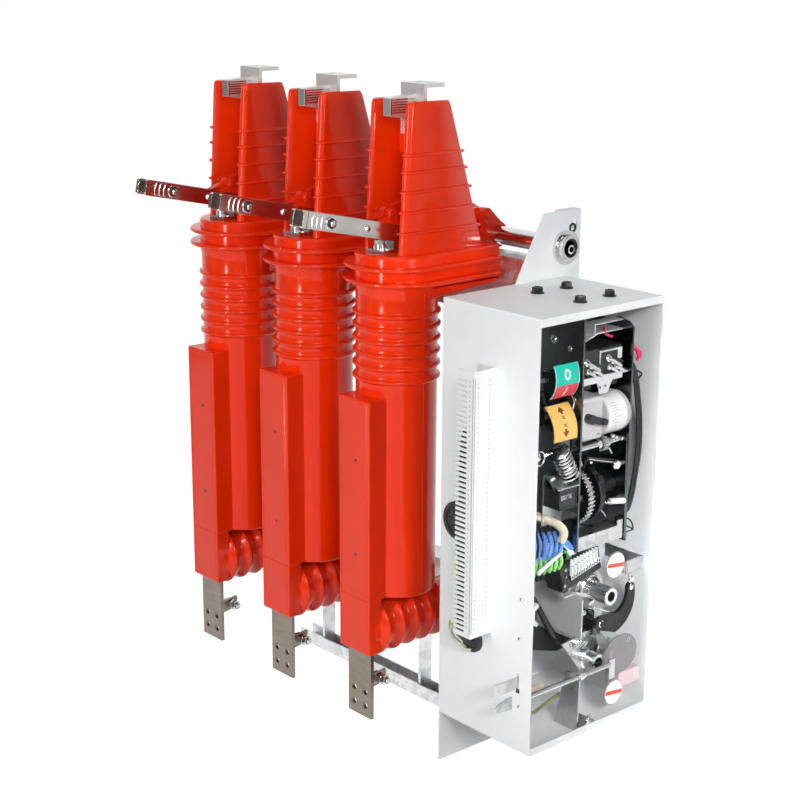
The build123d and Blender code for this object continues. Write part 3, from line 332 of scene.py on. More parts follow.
def world():
    """White behind the object, and a darker studio on the viewer's side for bright metal to mirror."""
    w = bpy.data.worlds.new("world")
    t, out = emptied(w, "World")
    view = node(t, "TexCoord").outputs["Generated"]
    studio = ramp(t, noise_of(t, view, 1.7, 2.0, 0.5),
                  [(0.4, (0.07, 0.075, 0.08)), (0.52, (0.3, 0.31, 0.32)), (0.62, (0.85, 0.86, 0.87))])
    panel = color_mix(t, facing(t, view, (0.75, 0.66, -0.05), 0.9, 0.985), studio, (0.72, 0.72, 0.72, 1))
    behind = color_mix(t, facing(t, view, (-0.75, 0.66, 0.0), 0.3, 0.55), panel, (1, 1, 1, 1))
    mirror = node(t, "Background", Strength=1.0)
    t.links.new(behind, mirror.inputs["Color"])
    fill = node(t, "Background", Color=(0.96, 0.98, 1, 1), Strength=0.17)
    white = node(t, "Background", Color=(1, 1, 1, 1), Strength=1.0)
    unseen = shader_mix(t, rays(t, "Is Glossy Ray"), fill, mirror)
    seen = rays(t, "Is Camera Ray", "Is Transmission Ray")
    t.links.new(shader_mix(t, seen, unseen, white).outputs[0], out)
    scene.world = w


world()


# Mesh kit, in mm
def basis(axis):
    """Three directions square to each other, the last one along the axis."""
    w = Vector(axis).normalized()
    u = Vector(Z if abs(w.z) < 0.9 else X).cross(w).normalized()
    return u, w.cross(u), w


def rod(r, h):
    """Profile of a plain cylinder."""
    return [(0, 0), (r, 0), (r, h), (0, h)]


def stud(r, h, r_top, h_top):
    """Profile of a cylinder with a chamfered end."""
    return [(0, 0), (r, 0), (r, h), (r_top, h_top), (0, h_top)]


def ridge(c, steps):
    """Profile of a shed about the height c, from (radius, distance) steps that end at its rim."""
    return [(r, c - d) for r, d in steps] + [(r, c + d) for r, d in steps[-2::-1]]


class Shape:
    """Verts and faces of one piece, in mm, with the finish of each face."""

    def __init__(self, mat):
        self.verts, self.faces, self.finishes, self.mats = [], [], [], []
        self.use(mat)

    def use(self, mat):
        if mat not in self.mats:
            self.mats.append(mat)
        self.current = self.mats.index(mat)
        return self

    def add(self, verts, faces):
        n = len(self.verts)
        self.verts += [tuple(p) for p in verts]
        self.faces += [tuple(i + n for i in f) for f in faces]
        self.finishes += [self.current] * len(faces)
        return self

    def lathe(self, at, axis, profile, n=28, turn=0.0):
        """A turned form: profile of (radius, height) along the axis."""
        u, v, w = basis(axis)
        verts, rings = [], []
        for r, h in profile:
            turns = [2 * pi * i / n + turn for i in range(n)] if r else [0.0]
            rings.append(range(len(verts), len(verts) + len(turns)))
            verts += [Vector(at) + u * (r * cos(a)) + v * (r * sin(a)) + w * h for a in turns]
        faces = []
        for a, b in zip(rings, rings[1:]):
            for i in range(n if len(a) + len(b) > 2 else 0):
                j = (i + 1) % n
                if len(a) == 1:
                    faces.append((a[0], b[j], b[i]))
                elif len(b) == 1:
                    faces.append((a[i], a[j], b[0]))
                else:
                    faces.append((a[i], a[j], b[j], b[i]))
        return self.add(verts, faces)

    def prism(self, points, at, u, v, depth):
        """A flat outline of (a, b) points in the plane of u and v, pushed along their cross product."""
        u, v, at = Vector(u), Vector(v), Vector(at)
        w = u.cross(v).normalized() * depth
        low = [at + u * a + v * b for a, b in points]
        n = len(low)
        faces = [tuple(range(n))[::-1], tuple(range(n, 2 * n))]
        faces += [(i, (i + 1) % n, n + (i + 1) % n, n + i) for i in range(n)]
        return self.add(low + [p + w for p in low], faces)

    def plate(self, points, x, depth):
        """A flat outline of (y, z) points, pushed from x to the right."""
        return self.prism(points, (x, 0, 0), Y, Z, depth)

    def wall(self, points, y, depth):
        """A flat outline of (x, z) points, pushed from y to the front."""
        return self.prism(points, (0, y, 0), X, Z, depth)

    def block(self, x0, x1, y0, y1, z0, z1):
        return self.prism([(x0, y0), (x1, y0), (x1, y1), (x0, y1)], (0, 0, z0), X, Y, z1 - z0)

    def loft(self, loops, outward=True):
        """A skin over loops of points, closed at the first and the last."""
        n = len(loops[0])
        verts = [p for loop in loops for p in loop]
        first, last = tuple(range(n)), tuple(range(len(verts) - n, len(verts)))
        faces = [first, last[::-1] if outward else last]
        for i in range(len(loops) - 1):
            for k in range(n):
                j = (k + 1) % n
                a, b, c, d = i * n + k, i * n + j, (i + 1) * n + j, (i + 1) * n + k
                faces.append((a, d, c, b) if outward else (a, b, c, d))
        return self.add(verts, faces)

    def tube(self, pts, r, n=10, steps=6, taper=None):
        """A round rod or wire along a smooth path through the points."""
        p = [Vector(q) for q in pts]
        path = []
        for i in range(len(p) - 1):
            a, b, c, d = p[max(i - 1, 0)], p[i], p[i + 1], p[min(i + 2, len(p) - 1)]
            for k in range(steps):
                t = k / steps
                path.append(0.5 * (2 * b + (c - a) * t + (2 * a - 5 * b + 4 * c - d) * t * t
                                   + (3 * b - a - 3 * c + d) * t ** 3))
        path.append(p[-1])
        u = basis(path[1] - path[0])[0]
        verts = []
        for i, q in enumerate(path):
            d = (path[min(i + 1, len(path) - 1)] - path[max(i - 1, 0)]).normalized()
            u = (u - d * u.dot(d)).normalized()
            v = d.cross(u)
            rr = r if taper is None else r + (taper - r) * i / (len(path) - 1)
            for k in range(n):
                a = 2 * pi * k / n
                verts.append(q + u * (rr * cos(a)) + v * (rr * sin(a)))
        faces = [tuple(range(n))[::-1], tuple(range(len(verts) - n, len(verts)))]
        for i in range(len(path) - 1):
            for k in range(n):
                j = (k + 1) % n
                faces.append((i * n + k, i * n + j, (i + 1) * n + j, (i + 1) * n + k))
        return self.add(verts, faces)

    def coil(self, a, b, radius, wire, turns, n=7, per=18):
        """A spring from a to b, with so many points a turn."""
        a, b = Vector(a), Vector(b)
        u, v, w = basis(b - a)
        pts = []
        for i in range(int(turns * per) + 1):
            t = i / (turns * per)
            turn = 2 * pi * turns * t
            pts.append(a + (b - a) * t + u * radius * cos(turn) + v * radius * sin(turn))
        return self.tube(pts, wire, n, 1)

    def washer(self, at, axis, r, h=1.2):
        return self.lathe(at, axis, stud(r, h * 0.8, r - 0.3, h), 28)

    def hexagon(self, at, axis, r, h, turn=0.2):
        return self.lathe(at, axis, stud(r, h * 0.82, r * 0.88, h), 6, turn)

    def bolt(self, at, axis, r, h, turn=0.2):
        """A hexagon head on its washer."""
        thick = 1.4
        self.washer(at, axis, r * 1.32, thick)
        return self.hexagon(Vector(at) + Vector(axis).normalized() * thick, axis, r, h, turn)

    def thread(self, at, axis, r, length, pitch=1.5):
        prof, k = [(0, 0)], 0
        while k * pitch < length - pitch:
            prof += [(r * 0.9, k * pitch), (r, (k + 0.5) * pitch)]
            k += 1
        prof += [(r * 0.9, length - 0.6), (r * 0.75, length), (0, length)]
        return self.lathe(at, axis, prof, 18)

    def pan(self, at, axis, r, slot=None, turn=0.6):
        """A domed screw head, with a cross recess drawn as flat bars in a finish where one is given; black
        bars there are painted shade.
        """
        self.lathe(at, axis, [(r, 0), (r, r * 0.18), (r * 0.86, r * 0.42), (r * 0.5, r * 0.58),
                              (0, r * 0.62)], 24)
        if slot:
            u, v, w = basis(axis)
            head = self.current
            self.use(slot)
            # bars of the cross recess, standing proud of the head: painted shade where black
            a, b = r * 0.6, r * 0.11
            for way in (turn, turn + pi / 2):
                d = u * cos(way) + v * sin(way)
                self.prism([(-a, -b), (a, -b), (a, b), (-a, b)], Vector(at) + w * r * 0.5, d, w.cross(d),
                           r * 0.15)
            self.current = head
        return self

    def make(self, name, body="frame", bevel=0.0, smooth=35):
        """The finished piece, in metres, riding on its body."""
        mesh = bpy.data.meshes.new(name)
        mesh.from_pydata([(x / 1000, y / 1000, z / 1000) for x, y, z in self.verts], [], self.faces)
        for m in self.mats:
            mesh.materials.append(m)
        mesh.polygons.foreach_set("material_index", self.finishes)
        mesh.validate()
        mesh.update()
        mesh.shade_smooth()
        mesh.set_sharp_from_angle(angle=radians(smooth))
        o = bpy.data.objects.new(name, mesh)
        scene.collection.objects.link(o)
        if bevel:
            b = o.modifiers.new("bevel", "BEVEL")
            b.width, b.segments = bevel / 1000, 2
            b.limit_method, b.angle_limit = "ANGLE", radians(40)
            b.harden_normals = True
        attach(o, body)
        return o


def arc(y0, y1, cx, cz, r, a0, a1, n=16):
    """Curved patch about an axis along Y, from one angle in degrees to another."""
    verts = []
    for i in range(n + 1):
        a = radians(a0 + (a1 - a0) * i / n)
        verts += [(cx + r * cos(a), y, cz + r * sin(a)) for y in (y0, y1)]
    return verts, [(2 * i, 2 * i + 1, 2 * i + 3, 2 * i + 2) for i in range(n)]


def print_on(shape, points, cx, cz, r, n=8):
    """A flat figure of three or four (y, height) points, wrapped on a drum about an axis along Y."""
    a, b, c, d = [Vector((y, h)) for y, h in (points + points[-1:])[:4]]
    verts = []
    for i in range(n + 1):
        for j in range(n + 1):
            p = (a.lerp(b, i / n)).lerp(d.lerp(c, i / n), j / n)
            verts.append((cx + r * cos(p.y / r), p.x, cz + r * sin(p.y / r)))
    faces = [(i * (n + 1) + j, i * (n + 1) + j + 1, (i + 1) * (n + 1) + j + 1, (i + 1) * (n + 1) + j)
             for i in range(n) for j in range(n)]
    shape.add(verts, faces)


# Further finishes
WIRE_BLACK = surface("wire_black", (0.012, 0.012, 0.013), 0.3, (0.3, 0.45), scale=120.0)
WIRE_BLUE = surface("wire_blue", (0.13, 0.3, 0.78), 0.25, (0.3, 0.45), scale=120.0)
WIRE_GREEN = surface("wire_green", (0.12, 0.5, 0.17), 0.3, (0.3, 0.45), scale=120.0)
WIRE_LIME = surface("wire_lime", (0.3, 0.62, 0.16), 0.3, (0.3, 0.45), scale=120.0)
WIRE_RED = surface("wire_red", (0.7, 0.02, 0.09), 0.25, (0.3, 0.5), scale=120.0)
OLIVE = surface("wire_olive", (0.2, 0.25, 0.1), 0.3, (0.3, 0.45), scale=120.0)
CREAM = surface("cream_sleeve", (0.62, 0.58, 0.45), 0.12, (0.4, 0.55), scale=90.0, grain=0.2, grain_scale=500)
SIGN_WHITE = surface("sign_white", (0.85, 0.87, 0.86), 0.03, (0.35, 0.5), scale=60.0)
SIGN_RED = surface("sign_red", (0.72, 0.05, 0.06), 0.05, (0.35, 0.5), scale=60.0)
SIGN_BROWN = surface("sign_brown", (0.18, 0.03, 0.01), 0.1, (0.4, 0.5), scale=60.0)
BAR_RED = surface("bar_red", (0.78, 0.07, 0.03), 0.05, (0.35, 0.5), scale=60.0)
RIM_GREY = surface("rim_grey", (0.33, 0.3, 0.32), 0.1, (0.3, 0.4), scale=60.0, edge=0.0005)
BRIGHT = surface("bright_zinc", (0.8, 0.8, 0.79), 0.06, (0.12, 0.26), 1.0, scale=120.0)
PLASTER = surface("white_terminal", (0.7, 0.72, 0.71), 0.04, (0.35, 0.5), scale=80.0, edge=0.0004)
SEAM = surface("seam_line", (0.42, 0.43, 0.44), 0.1, (0.5, 0.6), scale=80.0)

# Housing, roof bolts, bearing, wall
s = Shape(BLACK_STEEL)
for x, y, turn in ((68, -147, 0.1), (70, -86, 0.5), (153, -145, 0.3), (151.5, -80, 0.8)):
    s.lathe((x, y, ROOF), Z, [(0, 0), (10.5, 0), (10.5, 1.2), (9.6, 1.9), (8.6, 2.2), (0, 2.2)], 28)
    s.lathe((x, y, ROOF + 2.2), Z,
            [(8.2, 0), (8.2, 5.6), (7.4, 7.2), (5.2, 7.4), (4.4, 4.6), (0, 4.6)], 6, turn)
s.make("roof_bolts")
s = Shape(BRIGHT)
at, eye = (3, SHAFT.y, SHAFT.z), (3, -5.0, 450.0)
s.lathe(at, X, [(15.3, 6), (20.5, 6), (21, 7), (20, 12.6), (18.6, 13.6), (16.6, 13.4), (15.3, 12)], 48)
s.use(BLACK_STEEL).lathe(at, X, [(15.3, 10.6), (12.4, 11), (11.6, 10), (0, 10)], 40)
s.use(CHROME).lathe((3, SHAFT.y + 4, SHAFT.z - 3), X, [(7.2, 10), (7.2, 11.2), (4.6, 11.6), (4.4, 10)], 28)
s.use(BLACK_STEEL).lathe(eye, X, [(4.6, 0.1), (4.8, 1.6), (7.4, 1.6), (7.8, 0.1)], 30)
s.use(BRIGHT).lathe(eye, X, [(4.6, 0.3), (3.4, 0.9), (0, 0.9)], 24)
s.make("bearing_nut")
s = Shape(BRIGHT)
for x, z in ((177, -48), (175, -111), (177, -219)):
    s.pan((x, LEFT, z), FRONT, 3.6, BLACK)
s.make("wall_screws")
# flap of the slot below the tongue
s = Shape(ZINC)
s.plate([(LEFT - 34, -226), (LEFT, -228), (LEFT, -208), (LEFT - 10, -208), (LEFT - 30, -213),
         (LEFT - 35, -218)], 161, 1.6)
# the slot itself: a thin black patch on the wall, painted shade
s.use(BLACK).block(169.8, 177.2, LEFT - 0.25, LEFT, -198, -190.6)
s.make("wall_flap", bevel=0.4)

# fine perforation of the duct, on its plain back and its spine strip, drawn as grey marks: painted shade of
# its holes and groove
s = Shape(SEAM)
x1, y0, z0, z1 = 114.0, -318.0, -120.0, 290.0
PITCH_OF_MARKS = 7.4
z = z0 + 14
while z < z1 - 12:
    s.block(x1, x1 + 0.12, y0 + 8.0, y0 + 9.2, z, z + 3.0)
    s.block(x1, x1 + 0.12, y0 + 30.0, y0 + 31.6, z + 1, z + 4.4)
    s.block(x1 - 9.4, x1 - 8.0, y0 - 0.12, y0, z + 2, z + 5)
    z += PITCH_OF_MARKS
s.block(x1, x1 + 0.16, y0 + 1.2, y0 + 2.8, z0 + 8, z1 - 10)
s.block(x1 - 3.0, x1 - 1.4, y0 - 0.14, y0, z0 + 8, z1 - 10)
s.make("duct_marks")

# wires between the grommets and inside the duct
s = Shape(WIRE_BLACK)
for dx, dy, r in ((0, 0, 5.5), (7, -5, 4.8), (-6, -7, 4.2), (3, -12, 4.4), (9, 6, 4.6), (-4, 7, 4.4)):
    s.tube([(44 + dx * 1.5, -270, 38 + dy), (50 + dx, -283, 36 + dy * 1.5),
            (66 + dx * 0.5, -292 + dy * 0.6, 26),
            (84 + dx * 0.4, -298 + dy * 0.8, 2), (88 + dx * 0.7, -298 + dy, -60), (86 + dx, -297 + dy, -112),
            (72 + dx, -294 + dy * 0.6, -126), (68 + dx, -284, -137 + dy * 0.6),
            (76 + dx, -268, -142 + dy)], r, 10)
for dx, dy, r, top in ((0, 2, 5.0, 232), (6, -6, 4.6, 198), (-4, -8, 4.2, 150), (4, 10, 4.2, 176)):
    s.tube([(42 + dx, -270, 42 + dy), (52 + dx, -284, 46 + dy), (72 + dx * 0.5, -293 + dy * 0.5, 58),
            (88 + dx, -296 + dy, 84), (90 + dx, -297 + dy, top), (96 + dx, -292 + dy, top + 22)], r, 10)
for k in range(5):
    x = 82.5 + 5.6 * k
    s.tube([(x, -311.4 + (k % 2), -113), (x + 0.8, -312 + (k % 3) * 0.7, -60), (x - 0.8, -311.4, 10),
            (x + 0.6, -312, 80), (x, -311.4 + (k % 2), 140), (x + 0.6, -309, 186 - 3 * k),
            (x + 0.6, -300, 196 - 3 * k)], 3.3, 8)
s.make("duct_wires")
s = Shape(WIRE_LIME)
s.tube([(46, -270, 30), (56, -285, 22), (76, -313, 14), (80, -315.5, -4), (80, -315.5, -22), (84, -312, -36)],
       2.4, 8)
s.use(CREAM).tube([(74, -316, -108), (66, -312, -122), (61, -300, -140), (70, -284, -160), (78, -276, -158)],
                  2.6, 8)
s.use(WIRE_LIME).tube([(68, -317, -104), (63, -310, -124), (58, -297, -140), (68, -282, -157)], 1.8, 8)
s.make("duct_loose_wires")
# webs of both grommets
s = Shape(RUBBER)
for x, z, r in ((40, 38, 23.6), (76, -142, 14.6)):
    s.lathe((x, LEFT - 2.4, z), FRONT, [(r, 0), (r * 0.9, 0.9), (r * 0.45, 0.4), (0, 0.6)], 36)
    for i in range(7):
        a = 2 * pi * i / 7 + 0.3
        s.tube([(x + r * 0.4 * cos(a), LEFT - 3.2, z + r * 0.4 * sin(a)),
                (x + r * 0.95 * cos(a), LEFT - 3.6, z + r * 0.95 * sin(a))], 0.7, 6, 1)
s.make("grommet_webs")

# Mechanism: flags and counter
FLAG_X, FLAG_Z, FLAG_R = 142, 274, 42.25
CHARGE_X, CHARGE_Z, CHARGE_R = 132, 190, 52.25
FLAG_LOW, FLAG_HIGH = -222.4, -175.6          # side edges of both flags, along Y
INK = 0.2                                     # how far print stands off a flag
s = Shape(TEAL)
s.add(*arc(FLAG_LOW, FLAG_HIGH, FLAG_X, FLAG_Z, FLAG_R, -11.5, 30.6))
s.use(SIGN_RED).add(*arc(FLAG_LOW, FLAG_HIGH, FLAG_X, FLAG_Z, FLAG_R, -43.6, -11.5))
s.use(SIGN_WHITE)
cy, ch = -199.5, 42.4 * radians(9.6)
for i in range(28):
    a0, a1 = 2 * pi * i / 28, 2 * pi * (i + 1) / 28
    quad = [(cy + q * 6.4 * cos(a), ch + q * 8.4 * sin(a))
            for a, q in ((a0, 1), (a1, 1), (a1, 0.56), (a0, 0.56))]
    print_on(s, quad, FLAG_X, FLAG_Z, FLAG_R + INK)
ch = 42.4 * radians(-27)
print_on(s, [(-203.4, ch - 7.6), (-200.2, ch - 7.6), (-195.8, ch + 7.6), (-199.0, ch + 7.6)],
         FLAG_X, FLAG_Z, FLAG_R + INK)
for y0, y1 in ((FLAG_LOW - 1, FLAG_LOW), (FLAG_HIGH, FLAG_HIGH + 1)):
    s.add(*arc(y0, y1, FLAG_X, FLAG_Z, FLAG_R + 0.1, -44, 31))
s.make("position_print")
s = Shape(YELLOW)
s.add(*arc(FLAG_LOW, FLAG_HIGH, CHARGE_X, CHARGE_Z, CHARGE_R, -8.6, 53.6, 20))
s.use(SIGN_BROWN)
for mid, way in ((41.5, 1), (4.5, -1)):
    ch = 52.4 * radians(mid)
    marks = [[(-205.8, ch - 2 * way), (-199, ch + 7 * way), (-192.2, ch - 2 * way)],
             [(-196.4, ch - 1 * way), (-197.2, ch - 6 * way), (-200.8, ch - 6 * way), (-201.6, ch - 1 * way)]]
    for h0 in (ch - 9.0 * way, ch - 11.6 * way):
        marks.append([(-202, h0), (-196, h0), (-196, h0 - 1.5 * way), (-202, h0 - 1.5 * way)])
    for mark in marks:
        print_on(s, mark, CHARGE_X, CHARGE_Z, CHARGE_R + INK)
s.make("charge_print")

s = Shape(BLACK)
face = 185.0
for y0, y1, z0, z1 in ((-211, -174, 104.6, 107), (-211, -174, 77, 79), (-211, -209.4, 77, 107),
                       (-175.6, -174, 77, 107)):
    s.block(184.6, face + 1.2, y0, y1, z0, z1)
s.use(SIGN_WHITE)
SEGMENTS = {"0": "abcdef", "2": "abged", "7": "abc", "6": "afgedc"}
w, h, t = 3.0, 6.6, 0.75
BARS = {"a": (0, w, h - t, h), "g": (0, w, h / 2 - t / 2, h / 2 + t / 2), "d": (0, w, 0, t),
        "f": (0, t, h / 2, h), "b": (w - t, w, h / 2, h), "e": (0, t, 0, h / 2), "c": (w - t, w, 0, h / 2)}
for i, digit in enumerate("00276"):
    y, z = -206.4 + 4.7 * i, 91.6
    for key in SEGMENTS[digit]:
        a, b, c, d = BARS[key]
        s.block(face, face + 0.25, y + a, y + b, z + c, z + d)
s.make("counter_face")
s = Shape(BRIGHT)
for x, y in ((163, -203), (172, -184)):
    s.lathe((x, y, 108.5 + (face - x) * 0.55), (0.45, 0, 1),
            [(5.2, 0), (5.2, 2.2), (4.2, 4.0), (2.0, 5.0), (0, 5.2)], 22)
s.tube([(178, -213, 106), (168, -213, 118), (157, -213, 124), (155, -213, 70), (153, -213, 46)], 0.9, 6, 3)
s.make("counter_screws")

# screws on the left plate, beside the flags
s = Shape(BRIGHT)
for x, z, r in ((126, 318.7, 5.2), (159, 310.2, 3.6), (150, 226, 2.6), (171, 236, 2.2)):
    s.pan((x, -169, z), FRONT, r, BLACK)
    s.washer((x, -169, z), FRONT, r * 1.25, 0.5)
s.make("plate_screws")

# small linkage between the flags: pins, levers and springs in the shade of the left bay
s = Shape(BLACK_STEEL)
s.wall([(112, 268), (136, 272), (150, 240), (142, 214), (128, 212), (118, 236)], -176, 3)
s.wall([(104, 176), (128, 192), (120, 232), (106, 236)], -184, 3)
s.lathe((142, -170, 274), FRONT, stud(9, 8, 7, 9), 24)
s.lathe((132, -170, 190), FRONT, stud(10, 9, 8, 10), 24)
s.use(STEEL)
for x, y, z, r in ((120, -226, 258, 4), (116, -226, 238, 3.4), (118, -226, 217, 3.2), (108, -224, 200, 3.6)):
    s.lathe((x, y, z), FRONT, [(0, -50), (r * 0.6, -50), (r * 0.6, 0), (r, 0), (r, 2.4), (r * 0.7, 3),
                               (0, 3)], 18)
s.coil((112, -214, 176), (124, -206, 226), 4.2, 0.9, 11)
s.coil((100, -196, 250), (134, -190, 262), 3.6, 0.8, 12)
s.use(BRIGHT).tube([(171, -176, 245), (180, -180, 236), (181, -184, 226)], 1.2, 8)
s.make("flag_linkage")

# return spring on its slope, with hook ring and plate
s = Shape(BRIGHT)
a, b = Vector((178, -183, 126)), Vector((178, -204, 164))
s.coil(a, b, 12.6, 2.3, 7, 8)
s.lathe(b, b - a, [(0, 0), (14.5, 0), (15, 2), (13, 4), (6, 5), (0, 5)], 26)
s.lathe(a, a - b, [(0, 0), (14.5, 0), (15, 2), (13, 3), (0, 3)], 26)
s.use(ZINC).plate([(-186, 124), (-171, 112), (-171, 172), (-182, 176), (-196, 168)], 164, 2)
s.use(BRIGHT)
c = Vector((172, -240, 160))
for dx, ry, rz in ((0, 9.5, 10.5), (-5, 5.5, 6.5)):
    s.tube([c + Vector((dx, ry * cos(t * pi / 8), rz * sin(t * pi / 8))) for t in range(17)], 1.5, 8, 2)
s.lathe(c, (1, 0.2, 0), [(0, -14), (6, -14), (6, -2), (0, -2)], 20)
s.tube([(172, -231, 162), (176, -222, 165), (178, -208, 164)], 1.7, 8)
s.make("return_spring")
s = Shape(BLACK_STEEL)
s.tube([(168, -270, 196), (160, -252, 188), (150, -232, 176)], 5, 10)
s.lathe((165, -240, 160), X, [(0, -22), (15, -22), (15, -12), (9, -10), (9, -4), (12, -2), (0, -2)], 26)
s.make("spring_pulley")

# Relays and what is above them
RELAY_FACES = ((-140, 281), (-93, 281))
s = Shape(BRIGHT)
for y, z in RELAY_FACES:
    for dy, dz, r in ((-5.5, 5, 5.0), (5, -1, 4.4), (-3, -9, 4.0), (12, -10, 3.4)):
        s.use(BRIGHT).lathe((168, y + dy, z + dz), (1, 0.2, 0.3),
                            [(0, 0), (r * 1.25, 0), (r * 1.25, 3), (r, 4.4), (r * 0.55, 4.4), (r * 0.45, 7.4),
                             (0, 8)], 14)
        s.use(PLASTER).tube([(171, y + dy, z + dz), (178, y + dy + 5, z + dz - 3),
                             (179, y + dy + 9, z + dz - 7)], 2.3, 8, 4)
s.use(PLASTER).block(168, 169.6, -115.6, -114.2, 262, 300)
s.block(168, 169.6, -113, -68, 297, 299.4).block(168, 170, -76, -68, 283, 299)
s.use(BLACK)
for y, z in RELAY_FACES:
    s.tube([(172, y + 3, z + 5), (176, y + 12, z + 2), (178, y + 18, z - 2)], 2.0, 8, 4)
s.make("relay_terminals")
s = Shape(BRIGHT)
for y, z in ((-121, 246), (-110, 247)):
    s.pan((175, y, z), X, 3.2, BLACK)
s.use(BLACK_STEEL)
s.lathe((172, -86, 252), X, [(0, -10), (7, -10), (7, 0), (5.5, 2), (3, 2), (3, -3), (0, -3)], 22)
s.block(158, 172, -100, -80, 247, 258).block(150, 171, -160, -136, 246, 257)
s.make("shelf_screws")

# motor: plain label with rows of marks, ring seams, bolts
MOTOR_X, MOTOR_Z, MOTOR_R = 157, 199, 32.2
s = Shape(PLASTER)
s.add(*arc(-112, -72, MOTOR_X, MOTOR_Z, MOTOR_R, -48, 80, 22))
s.use(SEAM)
for y in (-114.6, -69.5):
    s.lathe((MOTOR_X, y, MOTOR_Z), Y, [(MOTOR_R, -0.5), (MOTOR_R + 0.5, 0), (MOTOR_R, 0.5)], 48)
s.use(BLACK)
for a, w, y in ((40, 9, -101), (32, 16, -104), (25, 12, -103), (18, 18, -104), (10, 10, -102),
                (2, 16, -103), (-7, 13, -104), (-16, 17, -103), (-26, 9, -101), (-34, 14, -103)):
    for j in range(int(w / 2.2)):
        turn = radians(a + (j % 3) * 0.8)
        s.add([(MOTOR_X + 32.35 * cos(turn + q), y + j * 2.3 + p, MOTOR_Z + 32.35 * sin(turn + q))
               for p, q in ((0, 0), (1.3, 0), (1.3, 0.022), (0, 0.022))], [(0, 1, 2, 3)])
s.make("motor_label")
s = Shape(GREY)
s.lathe((MOTOR_X, -64.5, MOTOR_Z), Y, stud(31, 2.2, 26, 3.4), 40)
s.use(BRIGHT)
for a in (radians(35), radians(155), radians(275)):
    s.bolt((MOTOR_X + 24 * cos(a), -61, MOTOR_Z + 24 * sin(a)), Y, 2.6, 1.8)
for y, z in ((-160, 226), (-160, 176), (-124, 176)):
    s.pan((178, y, z), X, 2.8, BLACK)
s.make("motor_bolts")

# ratchet: collars, pawls and the levers under its rod
s = Shape(BRIGHT)
s.lathe((168, -114, 156), Y, [(5, -3), (8.4, -3), (8.4, 3), (5, 3)], 28)
s.lathe((168, -160, 156), Y, [(5, -5), (8, -5), (8, 4), (5, 4)], 28)
s.wall([(150, 150), (170, 144), (176, 132), (170, 128), (162, 138), (148, 142)], -152, 3)
s.wall([(160, 146), (178, 150), (184, 142), (176, 138), (160, 138)], -96, 3)
s.use(BLACK_STEEL)
s.wall([(146, 150), (170, 142), (166, 120), (150, 104), (140, 120)], -136, 4)
s.plate([(-140, 136), (-64, 116), (-64, 123), (-140, 143)], 170, 3)
s.use(BRIGHT)
s.tube([(173, -136, 139), (174, -110, 131), (174, -78, 122)], 0.9, 8)
s.lathe((170, -76, 118), X, stud(7.5, 6, 6, 8), 22)
s.lathe((170, -62, 118), X, [(0, 0), (3.5, 0), (3, 4), (0, 4.4)], 18)
s.lathe((166, -128, 132), X, [(0, 0), (3.5, 0), (3, 5), (0, 5.4)], 18)
for y, z in ((-92, 168), (-84, 164), (-72, 160)):
    s.lathe((181, y, z), X, [(0, -4), (2.6, -4), (2.6, 0), (0, 0.8)], 14)
s.make("ratchet_levers")

# gear guard, cam rim and roller
GEAR_X, GEAR_Z = 149, 80
s = Shape(BLACK_STEEL)
s.tube([(GEAR_X + 43.5 * cos(radians(a)), -128, GEAR_Z + 43.5 * sin(radians(a))) for a in range(-70, 92, 9)],
       1.4, 8, 2)
s.lathe((GEAR_X, -126, GEAR_Z), FRONT, stud(20, 3, 17, 5), 34)
s.use(STEEL).lathe((GEAR_X, -131, GEAR_Z), FRONT, stud(8, 5, 6, 6), 26)
s.use(BRIGHT).lathe((158, -100, 57), Y, [(0, 0), (3.4, 0), (3.4, 40), (5.4, 40), (5.4, 43), (0, 43)], 20)
s.use(STEEL).tube([(176, -117, 60), (178, -106, 50), (178, -100, 42)], 1.1, 8)
s.make("cam_details")

# standoff that crosses to the right plate, in its white sleeve
s = Shape(BRIGHT)
s.lathe((172, -92, 62), (0.2, 1, -0.12), rod(3.8, 34), 22)
s.use(SIGN_WHITE).lathe((172, -92, 62), (0.2, 1, -0.12), [(3.9, 6), (4.6, 6), (4.6, 34), (3.9, 34)], 22)
s.make("standoff")

# Wires of the mechanism
s = Shape(CREAM)
s.tube([(104, -238, 62), (128, -222, 60), (150, -208, 56), (172, -199, 50), (184, -197, 40), (181, -200, 26)],
       6.6, 14, 6)
s.make("cream_sleeve")
s = Shape(WIRE_BLUE)
for k in range(6):
    y = -240 + 8.5 * k
    s.tube([(150 + k * 3, y + 12, 34), (162 + k * 2.5, y + 7, 24), (164 + k * 2.5, y + 3, 10),
            (160 + k * 2.5, y, -8)], 3.4, 10, 5)
s.use(WIRE_GREEN)
for k in range(7):
    y = -243 + 8.2 * k
    s.tube([(160 + k * 2.6, y + 2, -4), (162 + k * 2.6, y, -14), (160 + k * 2.6, y - 2, -27 + k * 1.2)],
           3.3, 10, 5)
s.use(WIRE_LIME)
for k in range(6):
    y = -239 + 8.3 * k
    s.tube([(166 + k * 2.6, y + 2, 2), (168 + k * 2.6, y, -10), (166 + k * 2.4, y - 2, -24 + k)], 2.3, 8, 5)
s.make("control_wires")
s = Shape(WIRE_BLACK)
for k in range(5):
    y = -236 + 9 * k
    s.tube([(146, y + 14, 46), (158, y + 8, 36), (168, y + 2, 22), (170, y - 2, 6)], 1.8, 8, 5)
s.tube([(130, -240, 30), (150, -232, 14), (140, -222, -6), (120, -226, -20)], 4.5, 10)
s.tube([(96, -262, 40), (110, -244, 10), (118, -238, -30), (110, -242, -70)], 6, 12)
s.tube([(96, -250, -10), (116, -232, -24), (128, -216, -50), (124, -206, -84)], 7, 12)
s.tube([(88, -236, 24), (108, -214, 2), (126, -200, -20), (130, -192, -52)], 6, 12)
s.make("dark_wires")
s = Shape(WIRE_GREEN)
